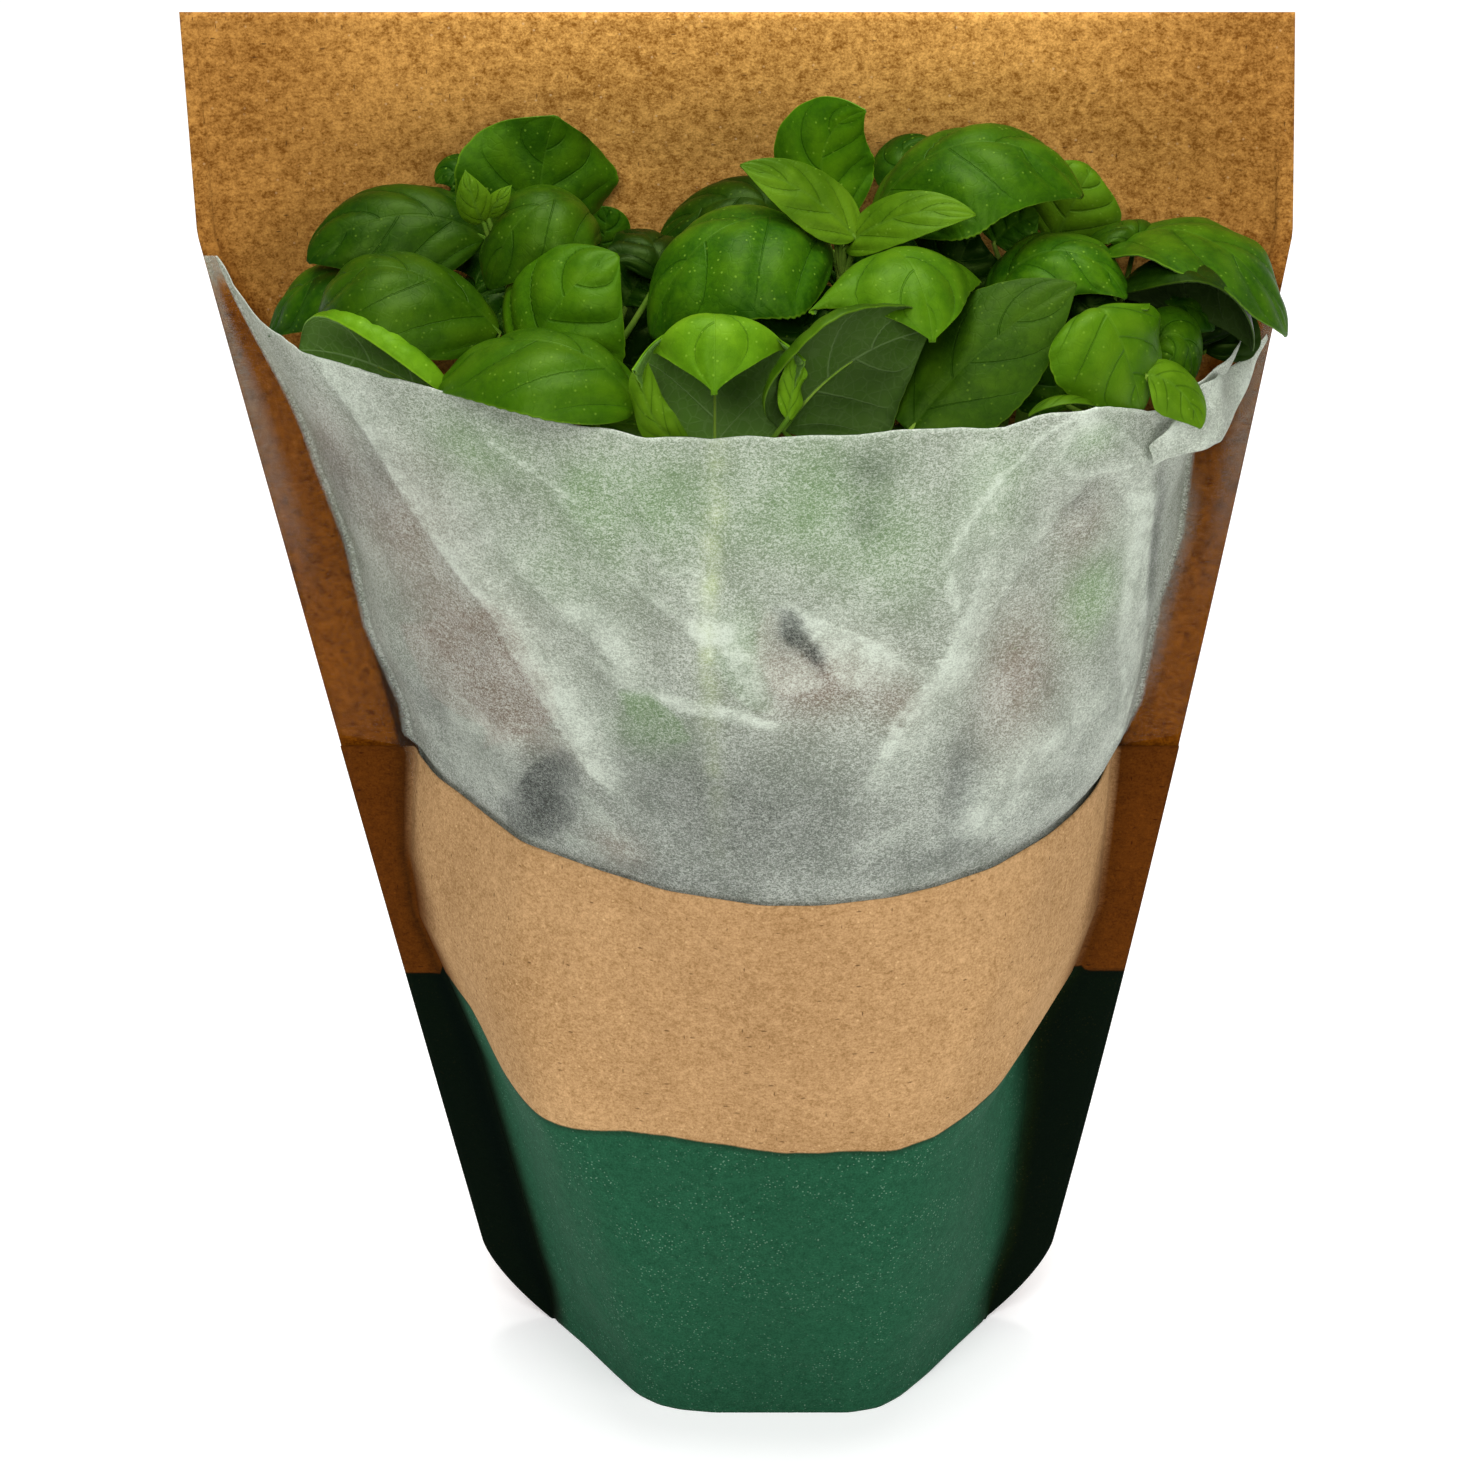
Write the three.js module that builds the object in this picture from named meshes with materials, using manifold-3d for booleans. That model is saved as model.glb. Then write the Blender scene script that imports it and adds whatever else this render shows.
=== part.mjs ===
// A potted basil plant in the tall paper sleeve that herbs are sold in. Millimetres, +Z up.
// The origin is the middle of the sleeve's oval bottom, on the surface that it stands on.
// The low front with its window faces -Y, and the tall back panel is at +Y.

import * as THREE from 'three'
import { mergeVertices } from 'three/addons/utils/BufferGeometryUtils.js'
import Module from 'manifold-3d'

const wasm = await Module()
wasm.setup()

// ---- driving dimensions ----

const gap = 0.3 // clearance between pieces that rest on each other
const paper = 0.8 // wall of the kraft panels, thicker than real paper
const film = 0.8 // wall of the window sheet

const headerTop = 373 // height of the back panel
const bandTop = 182.5 // top edge of the kraft front, where the window starts
const windowTop = 308.5 // top edge of the window at its middle
const windowTuck = 12 // how far the window reaches down behind the kraft front
const windowRise = 6.5 // how much higher its top edge is at the seams
const windowDip = { at: 0.8, spread: 0.13, depth: 18, corner: 10 } // where leaves push the edge down

const pot = {
  z: 1.1,
  y: -0.4,
  height: 104,
  bottomRadius: 37.5,
  topRadius: 57,
  rimRadius: 59,
  rimHeight: 8,
  wall: 1.4,
}
const drain = { count: 6, radius: 4, circle: 26 }
const soil = { top: 95, crown: 1.5, holeDepth: 14 }
const gussetLip = 8 // height of the bottom's folded edge

const stemRadius = { foot: 2.1, top: 1.4 }
const crownAt = 0.985 // share of the stem's length where its crown leaves grow
// A leaf stalk's radii, its sag and how far it runs into the blade, as shares of its and the blade's length.
const petiole = { foot: 1.05, tip: 0.6, sag: 0.12, intoBlade: 0.16 }
const lowerLeaf = { petiole: 7, rise: 5, arch: 2, width: 0.62, bend: 25 }
const bladeThickness = 0.7

// ---- small helpers ----

const vec = (x, y, z) => new THREE.Vector3(x, y, z)
const at = (p) => vec(p[0], p[1], p[2])
const clamp01 = (v) => Math.min(1, Math.max(0, v))
const ease = (v, from, to) => {
  const t = clamp01((v - from) / (to - from))
  return t * t * (3 - 2 * t)
}

// Value at v on the straight pieces between [place, value] stops.
function along(v, stops) {
  if (v <= stops[0][0]) return stops[0][1]
  for (let i = 1; i < stops.length; i++) {
    const [a, low] = stops[i - 1]
    const [b, high] = stops[i]
    if (v <= b) return low + ((high - low) * (v - a)) / (b - a)
  }
  return stops[stops.length - 1][1]
}

// Closed solid from a list of triangles given as corner points.
class Faces {
  constructor() {
    this.corners = []
  }
  tri(a, b, c) {
    for (const p of [a, b, c]) this.corners.push(p.x, p.y, p.z)
  }
  quad(a, b, c, d) {
    this.tri(a, b, c)
    this.tri(a, c, d)
  }
  geometry() {
    const loose = new THREE.BufferGeometry()
    loose.setAttribute('position', new THREE.Float32BufferAttribute(this.corners, 3))
    return mergeVertices(loose, 1e-4)
  }
}

// Sheet between two grids of points, face over back, with its four edges closed.
// Seen from the face's side, rows run up and columns run to the right.
function sheetBetween(face, back) {
  const faces = new Faces()
  const rows = face.length - 1
  const cols = face[0].length - 1
  for (let i = 0; i < rows; i++) {
    for (let j = 0; j < cols; j++) {
      faces.quad(face[i][j], face[i][j + 1], face[i + 1][j + 1], face[i + 1][j])
      faces.tri(back[i][j], back[i + 1][j + 1], back[i][j + 1])
      faces.tri(back[i][j], back[i + 1][j], back[i + 1][j + 1])
    }
    faces.quad(face[i + 1][0], back[i + 1][0], back[i][0], face[i][0])
    faces.quad(face[i][cols], back[i][cols], back[i + 1][cols], face[i + 1][cols])
  }
  for (let j = 0; j < cols; j++) {
    faces.quad(face[0][j + 1], face[0][j], back[0][j], back[0][j + 1])
    faces.quad(face[rows][j], face[rows][j + 1], back[rows][j + 1], back[rows][j])
  }
  return faces.geometry()
}

// Solid skinned over rings of points, counter-clockwise seen from above, from its bottom to its top.
// A ring that goes back down inside makes a cup. The first and last rings are closed at their middle.
function skinRings(rings) {
  const faces = new Faces()
  const middle = (ring) => ring.reduce((sum, p) => sum.add(p), vec(0, 0, 0)).divideScalar(ring.length)
  const first = rings[0]
  const last = rings[rings.length - 1]
  const sides = first.length
  for (let k = 0; k < sides; k++) {
    const n = (k + 1) % sides
    faces.tri(middle(first), first[n], first[k])
    faces.tri(middle(last), last[k], last[n])
    for (let r = 1; r < rings.length; r++) {
      faces.quad(rings[r - 1][k], rings[r - 1][n], rings[r][n], rings[r][k])
    }
  }
  return faces.geometry()
}

const circle = (radius, z, sides, y = 0) =>
  Array.from({ length: sides }, (_, k) => {
    const turn = (2 * Math.PI * k) / sides
    return vec(radius * Math.cos(turn), y + radius * Math.sin(turn), z)
  })

function toSolid(geometry) {
  return new wasm.Manifold(
    new wasm.Mesh({
      numProp: 3,
      vertProperties: Float32Array.from(geometry.attributes.position.array),
      triVerts: Uint32Array.from(geometry.index.array),
    }),
  )
}

function toGeometry(solid) {
  const mesh = solid.getMesh()
  const geometry = new THREE.BufferGeometry()
  geometry.setAttribute('position', new THREE.Float32BufferAttribute(mesh.vertProperties, 3))
  geometry.setIndex(Array.from(mesh.triVerts))
  return geometry
}

const joined = (geometries) => toGeometry(geometries.map(toSolid).reduce((sum, next) => sum.add(next)))

// ---- the sleeve's shape ----
// Front and back panels meet in a flat flange at each side. seamY is the flange's plane at height z,
// middleX the sleeve's lean to one side, outerHalf half its width over the flanges, and innerHalf half
// the width of the pocket between them.

const seamY = (z) => 45 * (z / headerTop) ** 1.8
const middleX = (z) => -8.7 * (z / headerTop) ** 1.6
const outerHalf = (z) => Math.min(73.9 + 0.196 * z, 136.4) - 13 * Math.max(0, 1 - z / 28) ** 1.6
const flangeWidth = (z) =>
  Math.max(0.6, 14.5 * (1 - Math.max(0, 1 - z / 30) ** 2) * (1 - 0.76 * ease(z, 262, 318)))
const innerHalf = (z) => outerHalf(z) - flangeWidth(z)

// Foremost and rearmost Y of the pocket at height z.
const frontY = (z) => -41 - 22 * (1 - (1 - ease(z, -60, 108)) / (1 - ease(0, -60, 108))) + 6 * ease(z, 190, 330)
const backY = (z) => 41 + 20 * ease(z, -30, 110) - 16 * ease(z, 130, 330)

// Power of the rounded outline on the left and right of the front, squarer as it grows.
const leftPower = (z) => along(z, [[0, 2], [108, 2.2], [184, 1.5], [311, 1.7]])
const rightPower = (z) => along(z, [[0, 2], [108, 2.2], [184, 2], [311, 2.3]])
const backPower = 2.2

// Share of the full bulge at u, from -1 at the left seam to 1 at the right one.
function frontBulge(z, u) {
  const power = u < 0 ? leftPower(z) : rightPower(z)
  return Math.max(0, 1 - Math.abs(u) ** power) ** (1 / power)
}
const backBulge = (u) => Math.max(0, 1 - Math.abs(u) ** backPower) ** (1 / backPower)

// Top edge of the window: level when cut, so it rises to the seams, and pushed down by leaves on the right.
function windowEdge(u) {
  const hollow = windowDip.depth * Math.exp(-(((u - windowDip.at) / windowDip.spread) ** 2))
  return windowTop + windowRise * u * u - hollow - windowDip.corner * ease(u, 0.85, 0.97)
}

// Columns across a panel: evenly turned steps over the pocket, so they crowd towards the seams.
const pocketSteps = 12
const pocketColumns = Array.from({ length: pocketSteps + 1 }, (_, k) =>
  Math.sin(Math.PI * (k / pocketSteps - 0.5)),
)

// Points of the grid moved by a distance against the face's normal.
function offsetGrid(grid, distance) {
  const rows = grid.length - 1
  const cols = grid[0].length - 1
  return grid.map((row, i) =>
    row.map((p, j) => {
      const across = grid[i][Math.min(j + 1, cols)].clone().sub(grid[i][Math.max(j - 1, 0)])
      const up = grid[Math.min(i + 1, rows)][j].clone().sub(grid[Math.max(i - 1, 0)][j])
      return p.clone().addScaledVector(across.cross(up).normalize(), -distance)
    }),
  )
}

// One panel's outside face. place(z, u) gives a pocket point, and a flange column lies outside it on each side.
function panelGrid(heights, flanges, place) {
  return heights.map((heightAt) => {
    const row = pocketColumns.map((u) => place(heightAt(u), u))
    const z = heightAt(1)
    const zLeft = heightAt(-1)
    const y = row[row.length - 1].y
    const yLeft = row[0].y
    const edge = flanges(z)
    const edgeLeft = flanges(zLeft)
    row.push(vec(middleX(z) + innerHalf(z) + edge, y, z))
    row.unshift(vec(middleX(zLeft) - innerHalf(zLeft) - edgeLeft, yLeft, zLeft))
    return row
  })
}

const steps = (count) => Array.from({ length: count + 1 }, (_, k) => k / count)

function kraftFront() {
  const rises = [0, 0.03, 0.08, 0.16, 0.3, 0.45, 0.6, 0.8, 1 - windowTuck / bandTop, 1]
  const outside = panelGrid(
    rises.map((r) => () => r * bandTop),
    flangeWidth,
    (z, u) => {
      const seam = seamY(z) - gap - paper
      return vec(middleX(z) + innerHalf(z) * u, seam - (seam - frontY(z)) * frontBulge(z, u), z)
    },
  )
  return sheetBetween(outside, offsetGrid(outside, paper))
}

function kraftBack() {
  const rises = [0, 0.015, 0.04, 0.08, 0.17, 0.265, 0.36, 0.48, 0.62, 0.76, 0.87, 1]
  const outside = panelGrid(
    rises.map((r) => () => r * headerTop),
    flangeWidth,
    (z, u) => {
      const seam = seamY(z) + paper
      const reach = Math.max(0, backY(z) - seam) * (1 - ease(z, 330, headerTop))
      return vec(middleX(z) + innerHalf(z) * u, seam + reach * backBulge(u), z)
    },
  )
  const facing = outside.map((row) => row.slice().reverse())
  return sheetBetween(facing, offsetGrid(facing, paper))
}

function windowSheet() {
  const foot = bandTop - windowTuck
  const free = bandTop + 8
  const tucked = (z) => 1 - ease(z, bandTop + 1, free) // 1 behind the kraft front, 0 above it
  const outside = panelGrid(
    [() => foot, () => bandTop + 1, ...steps(6).map((r) => (u) => free + r * (windowEdge(u) - free))],
    (z) => -2.2 * tucked(z) + Math.min(5, flangeWidth(z)) * (1 - tucked(z)),
    (z, u) => {
      const seam = seamY(z) - gap - film - 1.2 * tucked(z)
      const half = innerHalf(z) - 2.6 * tucked(z)
      const front = frontY(z) + paper + gap
      return vec(middleX(z) + half * u, seam - (seam - front) * frontBulge(z, u), z)
    },
  )
  return sheetBetween(outside, offsetGrid(outside, film))
}

// Oval bottom with a folded edge that stands up inside the panels.
function bottomGusset() {
  const inset = paper + gap
  const oval = (z, shrink) => {
    const half = innerHalf(z) - 2 * shrink
    const front = frontY(z) + shrink
    const rear = backY(z) - shrink
    const ring = []
    for (let k = 0; k < 2 * pocketSteps; k++) {
      const turn = (Math.PI * k) / pocketSteps
      const u = Math.cos(turn)
      const seam = seamY(z)
      const reach = turn < Math.PI ? (rear - seam) * backBulge(u) : (front - seam) * frontBulge(z, u)
      ring.push(vec(middleX(z) + half * u, seam + reach, z))
    }
    return ring
  }
  const level = (ring, z) => ring.map((p) => vec(p.x, p.y, z))
  return skinRings([
    level(oval(0, inset), 0),
    oval(gussetLip, inset),
    oval(gussetLip, inset + paper),
    level(oval(0, inset + paper), paper),
  ])
}

// ---- pot and soil ----

const potSides = 28

function nurseryPot() {
  const top = pot.z + pot.height
  const under = top - pot.rimHeight
  const wallAt = (z) =>
    pot.bottomRadius + ((pot.topRadius - pot.bottomRadius) * (z - pot.z)) / (under - pot.z)
  const ring = (radius, z) => circle(radius, z, potSides, pot.y)
  const shell = toSolid(
    skinRings([
      ring(wallAt(pot.z), pot.z),
      ring(wallAt(under), under),
      ring(pot.rimRadius, under),
      ring(pot.rimRadius, top),
      ring(pot.topRadius - pot.wall, top),
      ring(pot.topRadius - pot.wall, under),
      ring(pot.bottomRadius - pot.wall, pot.z + pot.wall),
    ]),
  )
  let drained = shell
  for (let k = 0; k < drain.count; k++) {
    const turn = (2 * Math.PI * k) / drain.count
    const hole = circle(drain.radius, 0, 6).map((p) =>
      vec(p.x + drain.circle * Math.cos(turn), p.y + pot.y + drain.circle * Math.sin(turn), p.z),
    )
    const lifted = hole.map((p) => vec(p.x, p.y, pot.z + 2 * pot.wall))
    drained = drained.subtract(toSolid(skinRings([hole, lifted])))
  }
  return toGeometry(drained)
}

function soilPlug(feet) {
  const under = pot.z + pot.height - pot.rimHeight
  const bottom = pot.z + pot.wall + gap
  const inner = pot.bottomRadius - pot.wall - gap
  const upper = pot.topRadius - pot.wall - gap
  const radiusAt = (z) => inner + ((upper - inner) * (z - bottom)) / (under - pot.z - pot.wall)
  const ring = (radius, z) => circle(radius, z, potSides, pot.y)
  let plug = toSolid(
    skinRings([
      ring(radiusAt(bottom) - 0.2, bottom),
      ring(radiusAt(soil.top) - 0.2, soil.top),
      ring(radiusAt(soil.top) * 0.6, soil.top + soil.crown),
    ]),
  )
  for (const foot of feet) {
    const low = circle(stemRadius.foot + gap + 0.3, soil.top - soil.holeDepth, 6)
    const place = (p, z) => vec(p.x + foot[0], p.y + foot[1], z)
    plug = plug.subtract(
      toSolid(
        skinRings([
          low.map((p) => place(p, soil.top - soil.holeDepth)),
          low.map((p) => place(p, soil.top + 2 * soil.crown + 1)),
        ]),
      ),
    )
  }
  return toGeometry(plug)
}

// ---- leaves and stems ----

// A leaf is given by its midrib's foot, crest and tip, the way its upper side looks, its width, and how far
// its left and right halves bend down, in degrees (minus bends them up). The midrib is a cubic curve through
// the three points, rounder at its crest the higher that stands over the line from foot to tip.
function midribCurve(foot, crest, tip) {
  const middle = foot.clone().add(tip).multiplyScalar(0.5)
  const half = tip.clone().sub(foot).multiplyScalar(0.5)
  const rise = crest.clone().sub(middle)
  const steep = rise.length() / half.length()
  const lean = 0.66 / (1 + steep * steep)
  const first = foot.clone().addScaledVector(rise, 4 / 3).addScaledVector(half, lean)
  const second = tip.clone().addScaledVector(rise, 4 / 3).addScaledVector(half, -lean)
  return new THREE.CubicBezierCurve3(foot, first, second, tip)
}

// Half-width along the midrib as a share of the widest: a rounded foot, widest at 0.42, and a pointed tip.
function leafOutline(t) {
  const widest = 0.42
  if (t < widest) return (1 - ((widest - t) / widest) ** 2.4) ** 0.55
  return Math.max(0, 1 - ((t - widest) / (1 - widest)) ** 2.1) ** 0.85
}

// Normals of a leaf's midrib, carried from the middle point to both ends without twisting.
function carriedNormals(points, tangents, looks) {
  const square = (v, tangent) => v.clone().addScaledVector(tangent, -v.dot(tangent)).normalize()
  const mid = Math.floor(points.length / 2)
  const normals = []
  normals[mid] = square(looks, tangents[mid])
  for (let i = mid + 1; i < points.length; i++) normals[i] = square(normals[i - 1], tangents[i])
  for (let i = mid - 1; i >= 0; i--) normals[i] = square(normals[i + 1], tangents[i])
  return normals
}

function leafBlade(leaf, cellsLong, cellsAcross) {
  const curve = midribCurve(at(leaf.foot), at(leaf.crest), at(leaf.tip))
  const points = curve.getSpacedPoints(cellsLong)
  const tangents = points.map((_, i) => curve.getTangentAt(i / cellsLong))
  const normals = carriedNormals(points, tangents, at(leaf.looks))
  const rows = { upper: [], lower: [] }
  points.forEach((p, i) => {
    const share = Math.max(leafOutline(i / cellsLong), 0.03)
    const reach = (leaf.width / 2) * share
    const side = tangents[i].clone().cross(normals[i])
    const upper = []
    const lower = []
    for (let j = 0; j <= cellsAcross; j++) {
      const s = (2 * j) / cellsAcross - 1
      const bend = THREE.MathUtils.degToRad(s < 0 ? leaf.bend[0] : leaf.bend[1]) * Math.sqrt(share)
      const turn = s * bend
      const radius = bend === 0 ? 0 : reach / bend
      const out = bend === 0 ? s * reach : radius * Math.sin(turn)
      const drop = bend === 0 ? 0 : radius * (1 - Math.cos(turn))
      const spot = p.clone().addScaledVector(side, out).addScaledVector(normals[i], -drop)
      const normal = normals[i].clone().multiplyScalar(Math.cos(turn)).addScaledVector(side, Math.sin(turn))
      upper.push(spot.clone().addScaledVector(normal, bladeThickness / 2))
      lower.push(spot.clone().addScaledVector(normal, -bladeThickness / 2))
    }
    rows.upper.push(upper)
    rows.lower.push(lower)
  })
  return sheetBetween(rows.upper, rows.lower)
}

// Round tube through the curve's points, from radius start to radius end.
function tubeAlong(points, start, end, sides) {
  const rings = points.map((p, i) => {
    const ahead = points[Math.min(i + 1, points.length - 1)]
    const tangent = ahead.clone().sub(points[Math.max(i - 1, 0)]).normalize()
    const side = vec(1, 0, 0).addScaledVector(tangent, -tangent.x).normalize()
    const other = tangent.clone().cross(side)
    const radius = THREE.MathUtils.lerp(start, end, i / (points.length - 1))
    return circle(radius, 0, sides).map((c) =>
      p.clone().addScaledVector(side, c.x).addScaledVector(other, c.y),
    )
  })
  return skinRings(rings)
}

// The stem's own line: straight up out of its hole, then a curve that ends in the direction of its lean.
function stemPoints(stem) {
  const low = soil.top - soil.holeDepth + gap
  const free = soil.top + 4
  const foot = vec(stem.foot[0], stem.foot[1], free)
  const top = at(stem.top)
  const climb = top.z - free
  const curve = new THREE.CubicBezierCurve3(
    foot,
    vec(foot.x, foot.y, foot.z + climb * 0.4),
    vec(top.x * 0.85 + foot.x * 0.15, top.y * 0.85 + foot.y * 0.15, top.z - climb * 0.35),
    top,
  )
  return { low: vec(foot.x, foot.y, low), curve }
}

// Stalk from the stem to a blade's foot, sunk into both.
function leafStalk(from, leaf) {
  const curve = midribCurve(at(leaf.foot), at(leaf.crest), at(leaf.tip))
  const inBlade = curve.getPointAt(petiole.intoBlade)
  const foot = at(leaf.foot)
  const middle = from.clone().lerp(foot, 0.55)
  middle.z -= petiole.sag * from.distanceTo(foot)
  const smooth = new THREE.QuadraticBezierCurve3(from, middle, foot)
  return tubeAlong([...smooth.getPoints(2), inBlade], petiole.foot, petiole.tip, 4)
}

// A lower leaf grows from its stem at a share of the height, towards a compass angle (0 is +X, 90 is +Y).
function lowerBlade(stemAt, [share, compass, length]) {
  const from = stemAt(share)
  const turn = THREE.MathUtils.degToRad(compass)
  const out = vec(Math.cos(turn), Math.sin(turn), 0)
  const spot = (distance, lift) => from.clone().addScaledVector(out, distance).add(vec(0, 0, lift)).toArray()
  const mid = lowerLeaf.petiole + length / 2
  return {
    foot: spot(lowerLeaf.petiole, lowerLeaf.rise),
    crest: spot(mid, lowerLeaf.rise + lowerLeaf.arch),
    tip: spot(lowerLeaf.petiole + length, 0),
    looks: [0, 0, 1],
    width: lowerLeaf.width * length,
    bend: [lowerLeaf.bend, lowerLeaf.bend],
    from,
  }
}

function leafyStem(stem) {
  const { low, curve } = stemPoints(stem)
  const stemAt = (share) => curve.getPointAt(share)
  const line = [low, ...curve.getPoints(7)]
  const pieces = [tubeAlong(line, stemRadius.foot, stemRadius.top, 6)]
  for (const leaf of stem.leaves) {
    pieces.push(leaf.width > 20 ? leafBlade(leaf, 6, 4) : leafBlade(leaf, 5, 2))
    pieces.push(leafStalk(stemAt(crownAt), leaf))
  }
  for (const [share, compass, length] of stem.lowerPairs) {
    for (const turned of [compass, compass + 180]) {
      const leaf = lowerBlade(stemAt, [share, turned, length])
      pieces.push(leafBlade(leaf, 4, 2))
      pieces.push(leafStalk(leaf.from, leaf))
    }
  }
  return joined(pieces)
}

const leaf = (foot, crest, tip, looks, width, bend) => ({ foot, crest, tip, looks, width, bend })

// Each stem's place in the soil, its top, the leaves of its crown, and its lower leaves, which stand in
// opposite pairs, each given as [share of the stem's length, compass angle of one of the two, length].
const stems = {
  stem_left_back: {
    foot: [-24, 14],
    top: [-62, 10, 314],
    leaves: [
      leaf([-54, 22, 316], [-57, 31, 336], [-50, 35, 349], [-0.1, -0.85, 0.5], 38, [35, 35]),
      leaf([-75, 13, 329], [-93, 12, 335], [-111, 8, 322], [0, -0.5, 0.85], 26, [40, 45]),
      leaf([-70, 8, 333], [-72, 8, 339], [-73, 8, 346], [-0.3, -0.8, 0.5], 9, [20, 20]),
      leaf([-44, 15, 330], [-54, 7, 341], [-68, 1, 321], [0.1, -0.4, 0.85], 31, [50, 55]),
    ],
    lowerPairs: [[0.58, 0, 26], [0.8, 0, 30]],
  },
  stem_left_front: {
    foot: [-34, -8],
    top: [-78, -10, 298],
    leaves: [
      leaf([-97, 9, 312], [-110, 9, 318], [-121, 10, 303], [-0.2, -0.4, 0.9], 26, [40, 40]),
      leaf([-66, -9, 311], [-85, -9, 322], [-108, -1, 315], [0, -0.4, 0.9], 28, [40, 50]),
      leaf([-76, -22, 309], [-96, -10, 315], [-113, 2, 311], [0.2, 0.9, 0.4], 38, [110, -30]),
    ],
    lowerPairs: [[0.58, 120, 26], [0.8, 135, 32]],
  },
  stem_middle_left: {
    foot: [-18, -8],
    top: [-45, -8, 302],
    leaves: [
      leaf([-55, -15, 305], [-50, -15, 321], [-37, -14, 330], [0.1, -0.65, 0.75], 31, [50, 50]),
      leaf([-27, 2, 316], [-30, 8, 327], [-34, 14, 330], [0.2, -0.7, 0.7], 20, [35, 35]),
    ],
    lowerPairs: [[0.54, 30, 26], [0.8, 90, 31]],
  },
  stem_front_left: {
    foot: [-13, -40],
    top: [-18, -40, 284],
    leaves: [
      leaf([-33, -40, 306], [-56, -35, 320], [-79, -26, 305], [0, -0.5, 0.86], 36, [65, 45]),
      leaf([-16, -38, 291], [-17, -40, 332], [-13, -53, 318], [0, 0.1, 1], 42, [35, 35]),
    ],
    lowerPairs: [[0.54, 165, 26], [0.8, 165, 30]],
  },
  stem_middle_front: {
    foot: [10, -26],
    top: [18, -38, 292],
    leaves: [
      leaf([4, -44, 305], [18, -37, 316], [31, -28, 324], [-0.25, 0.95, 0.1], 32, [45, 45]),
      leaf([32, -38, 302], [51, -25, 317], [72, -14, 329], [-0.1, -0.8, 0.6], 32, [20, 20]),
    ],
    lowerPairs: [[0.58, 165, 26], [0.88, 15, 32]],
  },
  stem_centre_front: {
    foot: [16, -6],
    top: [28, -6, 300],
    leaves: [leaf([27, -6, 308], [30, -18, 337], [37, -37, 324], [0.1, -0.4, 0.9], 42, [35, 30])],
    lowerPairs: [[0.62, 30, 26], [0.8, 15, 31]],
  },
  stem_centre: {
    foot: [2, 6],
    top: [17, 2, 326],
    leaves: [
      leaf([13, 4, 329], [-5, -6, 334], [-18, -26, 318], [-0.15, -0.5, 0.85], 47, [45, 45]),
      leaf([19, 12, 331], [13, 16, 350], [22, 12, 361], [-0.3, -0.9, 0.3], 25, [40, 30]),
      leaf([17, -2, 336], [6, 0, 346], [-9, 2, 353], [0.2, -0.6, 0.8], 15, [15, 15]),
      leaf([18, -4, 334], [32, -7, 343], [49, -7, 343], [0.1, -0.6, 0.8], 14, [15, 15]),
    ],
    lowerPairs: [[0.58, 15, 26], [0.8, 15, 30]],
  },
  stem_back: {
    foot: [10, 28],
    top: [22, 22, 320],
    leaves: [
      leaf([1, 26, 324], [-14, 28, 332], [-28, 24, 321], [-0.2, -0.5, 0.85], 26, [30, 40]),
      leaf([27, 16, 330], [50, 14, 346], [75, 10, 341], [0, -0.5, 0.87], 33, [40, 40]),
      leaf([35, 30, 334], [31, 33, 341], [38, 33, 345], [-0.2, -0.7, 0.7], 15, [30, 30]),
    ],
    lowerPairs: [[0.62, 15, 26], [0.8, 15, 32]],
  },
  stem_right_back: {
    foot: [30, 24],
    top: [62, 20, 308],
    leaves: [
      leaf([68, 28, 319], [77, 32, 330], [79, 34, 339], [0.2, -0.8, 0.5], 24, [30, 30]),
      leaf([52, 16, 319], [58, 19, 328], [66, 22, 332], [0, -0.7, 0.7], 22, [30, 30]),
    ],
    lowerPairs: [[0.58, 15, 26], [0.8, 15, 31]],
  },
  stem_right: {
    foot: [34, -4],
    top: [62, -8, 304],
    leaves: [
      leaf([52, -3, 319], [67, 0, 330], [83, -6, 320], [0, -0.5, 0.87], 28, [40, 50]),
      leaf([76, -23, 315], [77, -29, 329], [89, -34, 304], [0.1, -0.5, 0.85], 30, [45, 40]),
    ],
    lowerPairs: [[0.66, 15, 20], [0.88, 15, 30]],
  },
  stem_far_right: {
    foot: [41, 10],
    top: [84, 12, 306],
    leaves: [
      leaf([80, 20, 325], [105, 10, 329], [126, 2, 306], [0.1, 0, 1], 37, [35, 40]),
      leaf([87, 12, 315], [102, 8, 320], [117, 2, 305], [0, 0.3, 0.95], 26, [40, 60]),
    ],
    lowerPairs: [[0.5, 105, 26], [0.76, 120, 26]],
  },
  stem_right_front: {
    foot: [31, -25],
    top: [86, -20, 296],
    leaves: [
      leaf([91, -11, 309], [98, -13, 318], [103, -18, 304], [0.3, -0.5, 0.8], 18, [40, 40]),
      leaf([89, -22, 306], [97, -26, 308], [103, -32, 296], [0.3, -0.5, 0.8], 15, [30, 30]),
      leaf([76, -34, 307], [68, -36, 310], [61, -38, 307], [0, 0.4, 0.9], 14, [50, 50]),
    ],
    lowerPairs: [[0.62, 45, 26], [0.72, 45, 25]],
  },
}

const materialFor = (color, roughness) => new THREE.MeshStandardMaterial({ color, roughness, metalness: 0 })
const looks = {
  kraft: [0xb98a4e, 0.85],
  printed: [0xc39a66, 0.8],
  window: [0xd9ddd5, 0.6],
  pot: [0x2b2b2d, 0.5],
  soil: [0x2f231a, 0.95],
  leaf: [0x3f7f22, 0.45],
}

const group = new THREE.Group()
function addPiece(name, geometry, look) {
  const mesh = new THREE.Mesh(geometry, materialFor(...looks[look]))
  mesh.name = name
  group.add(mesh)
}

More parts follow.
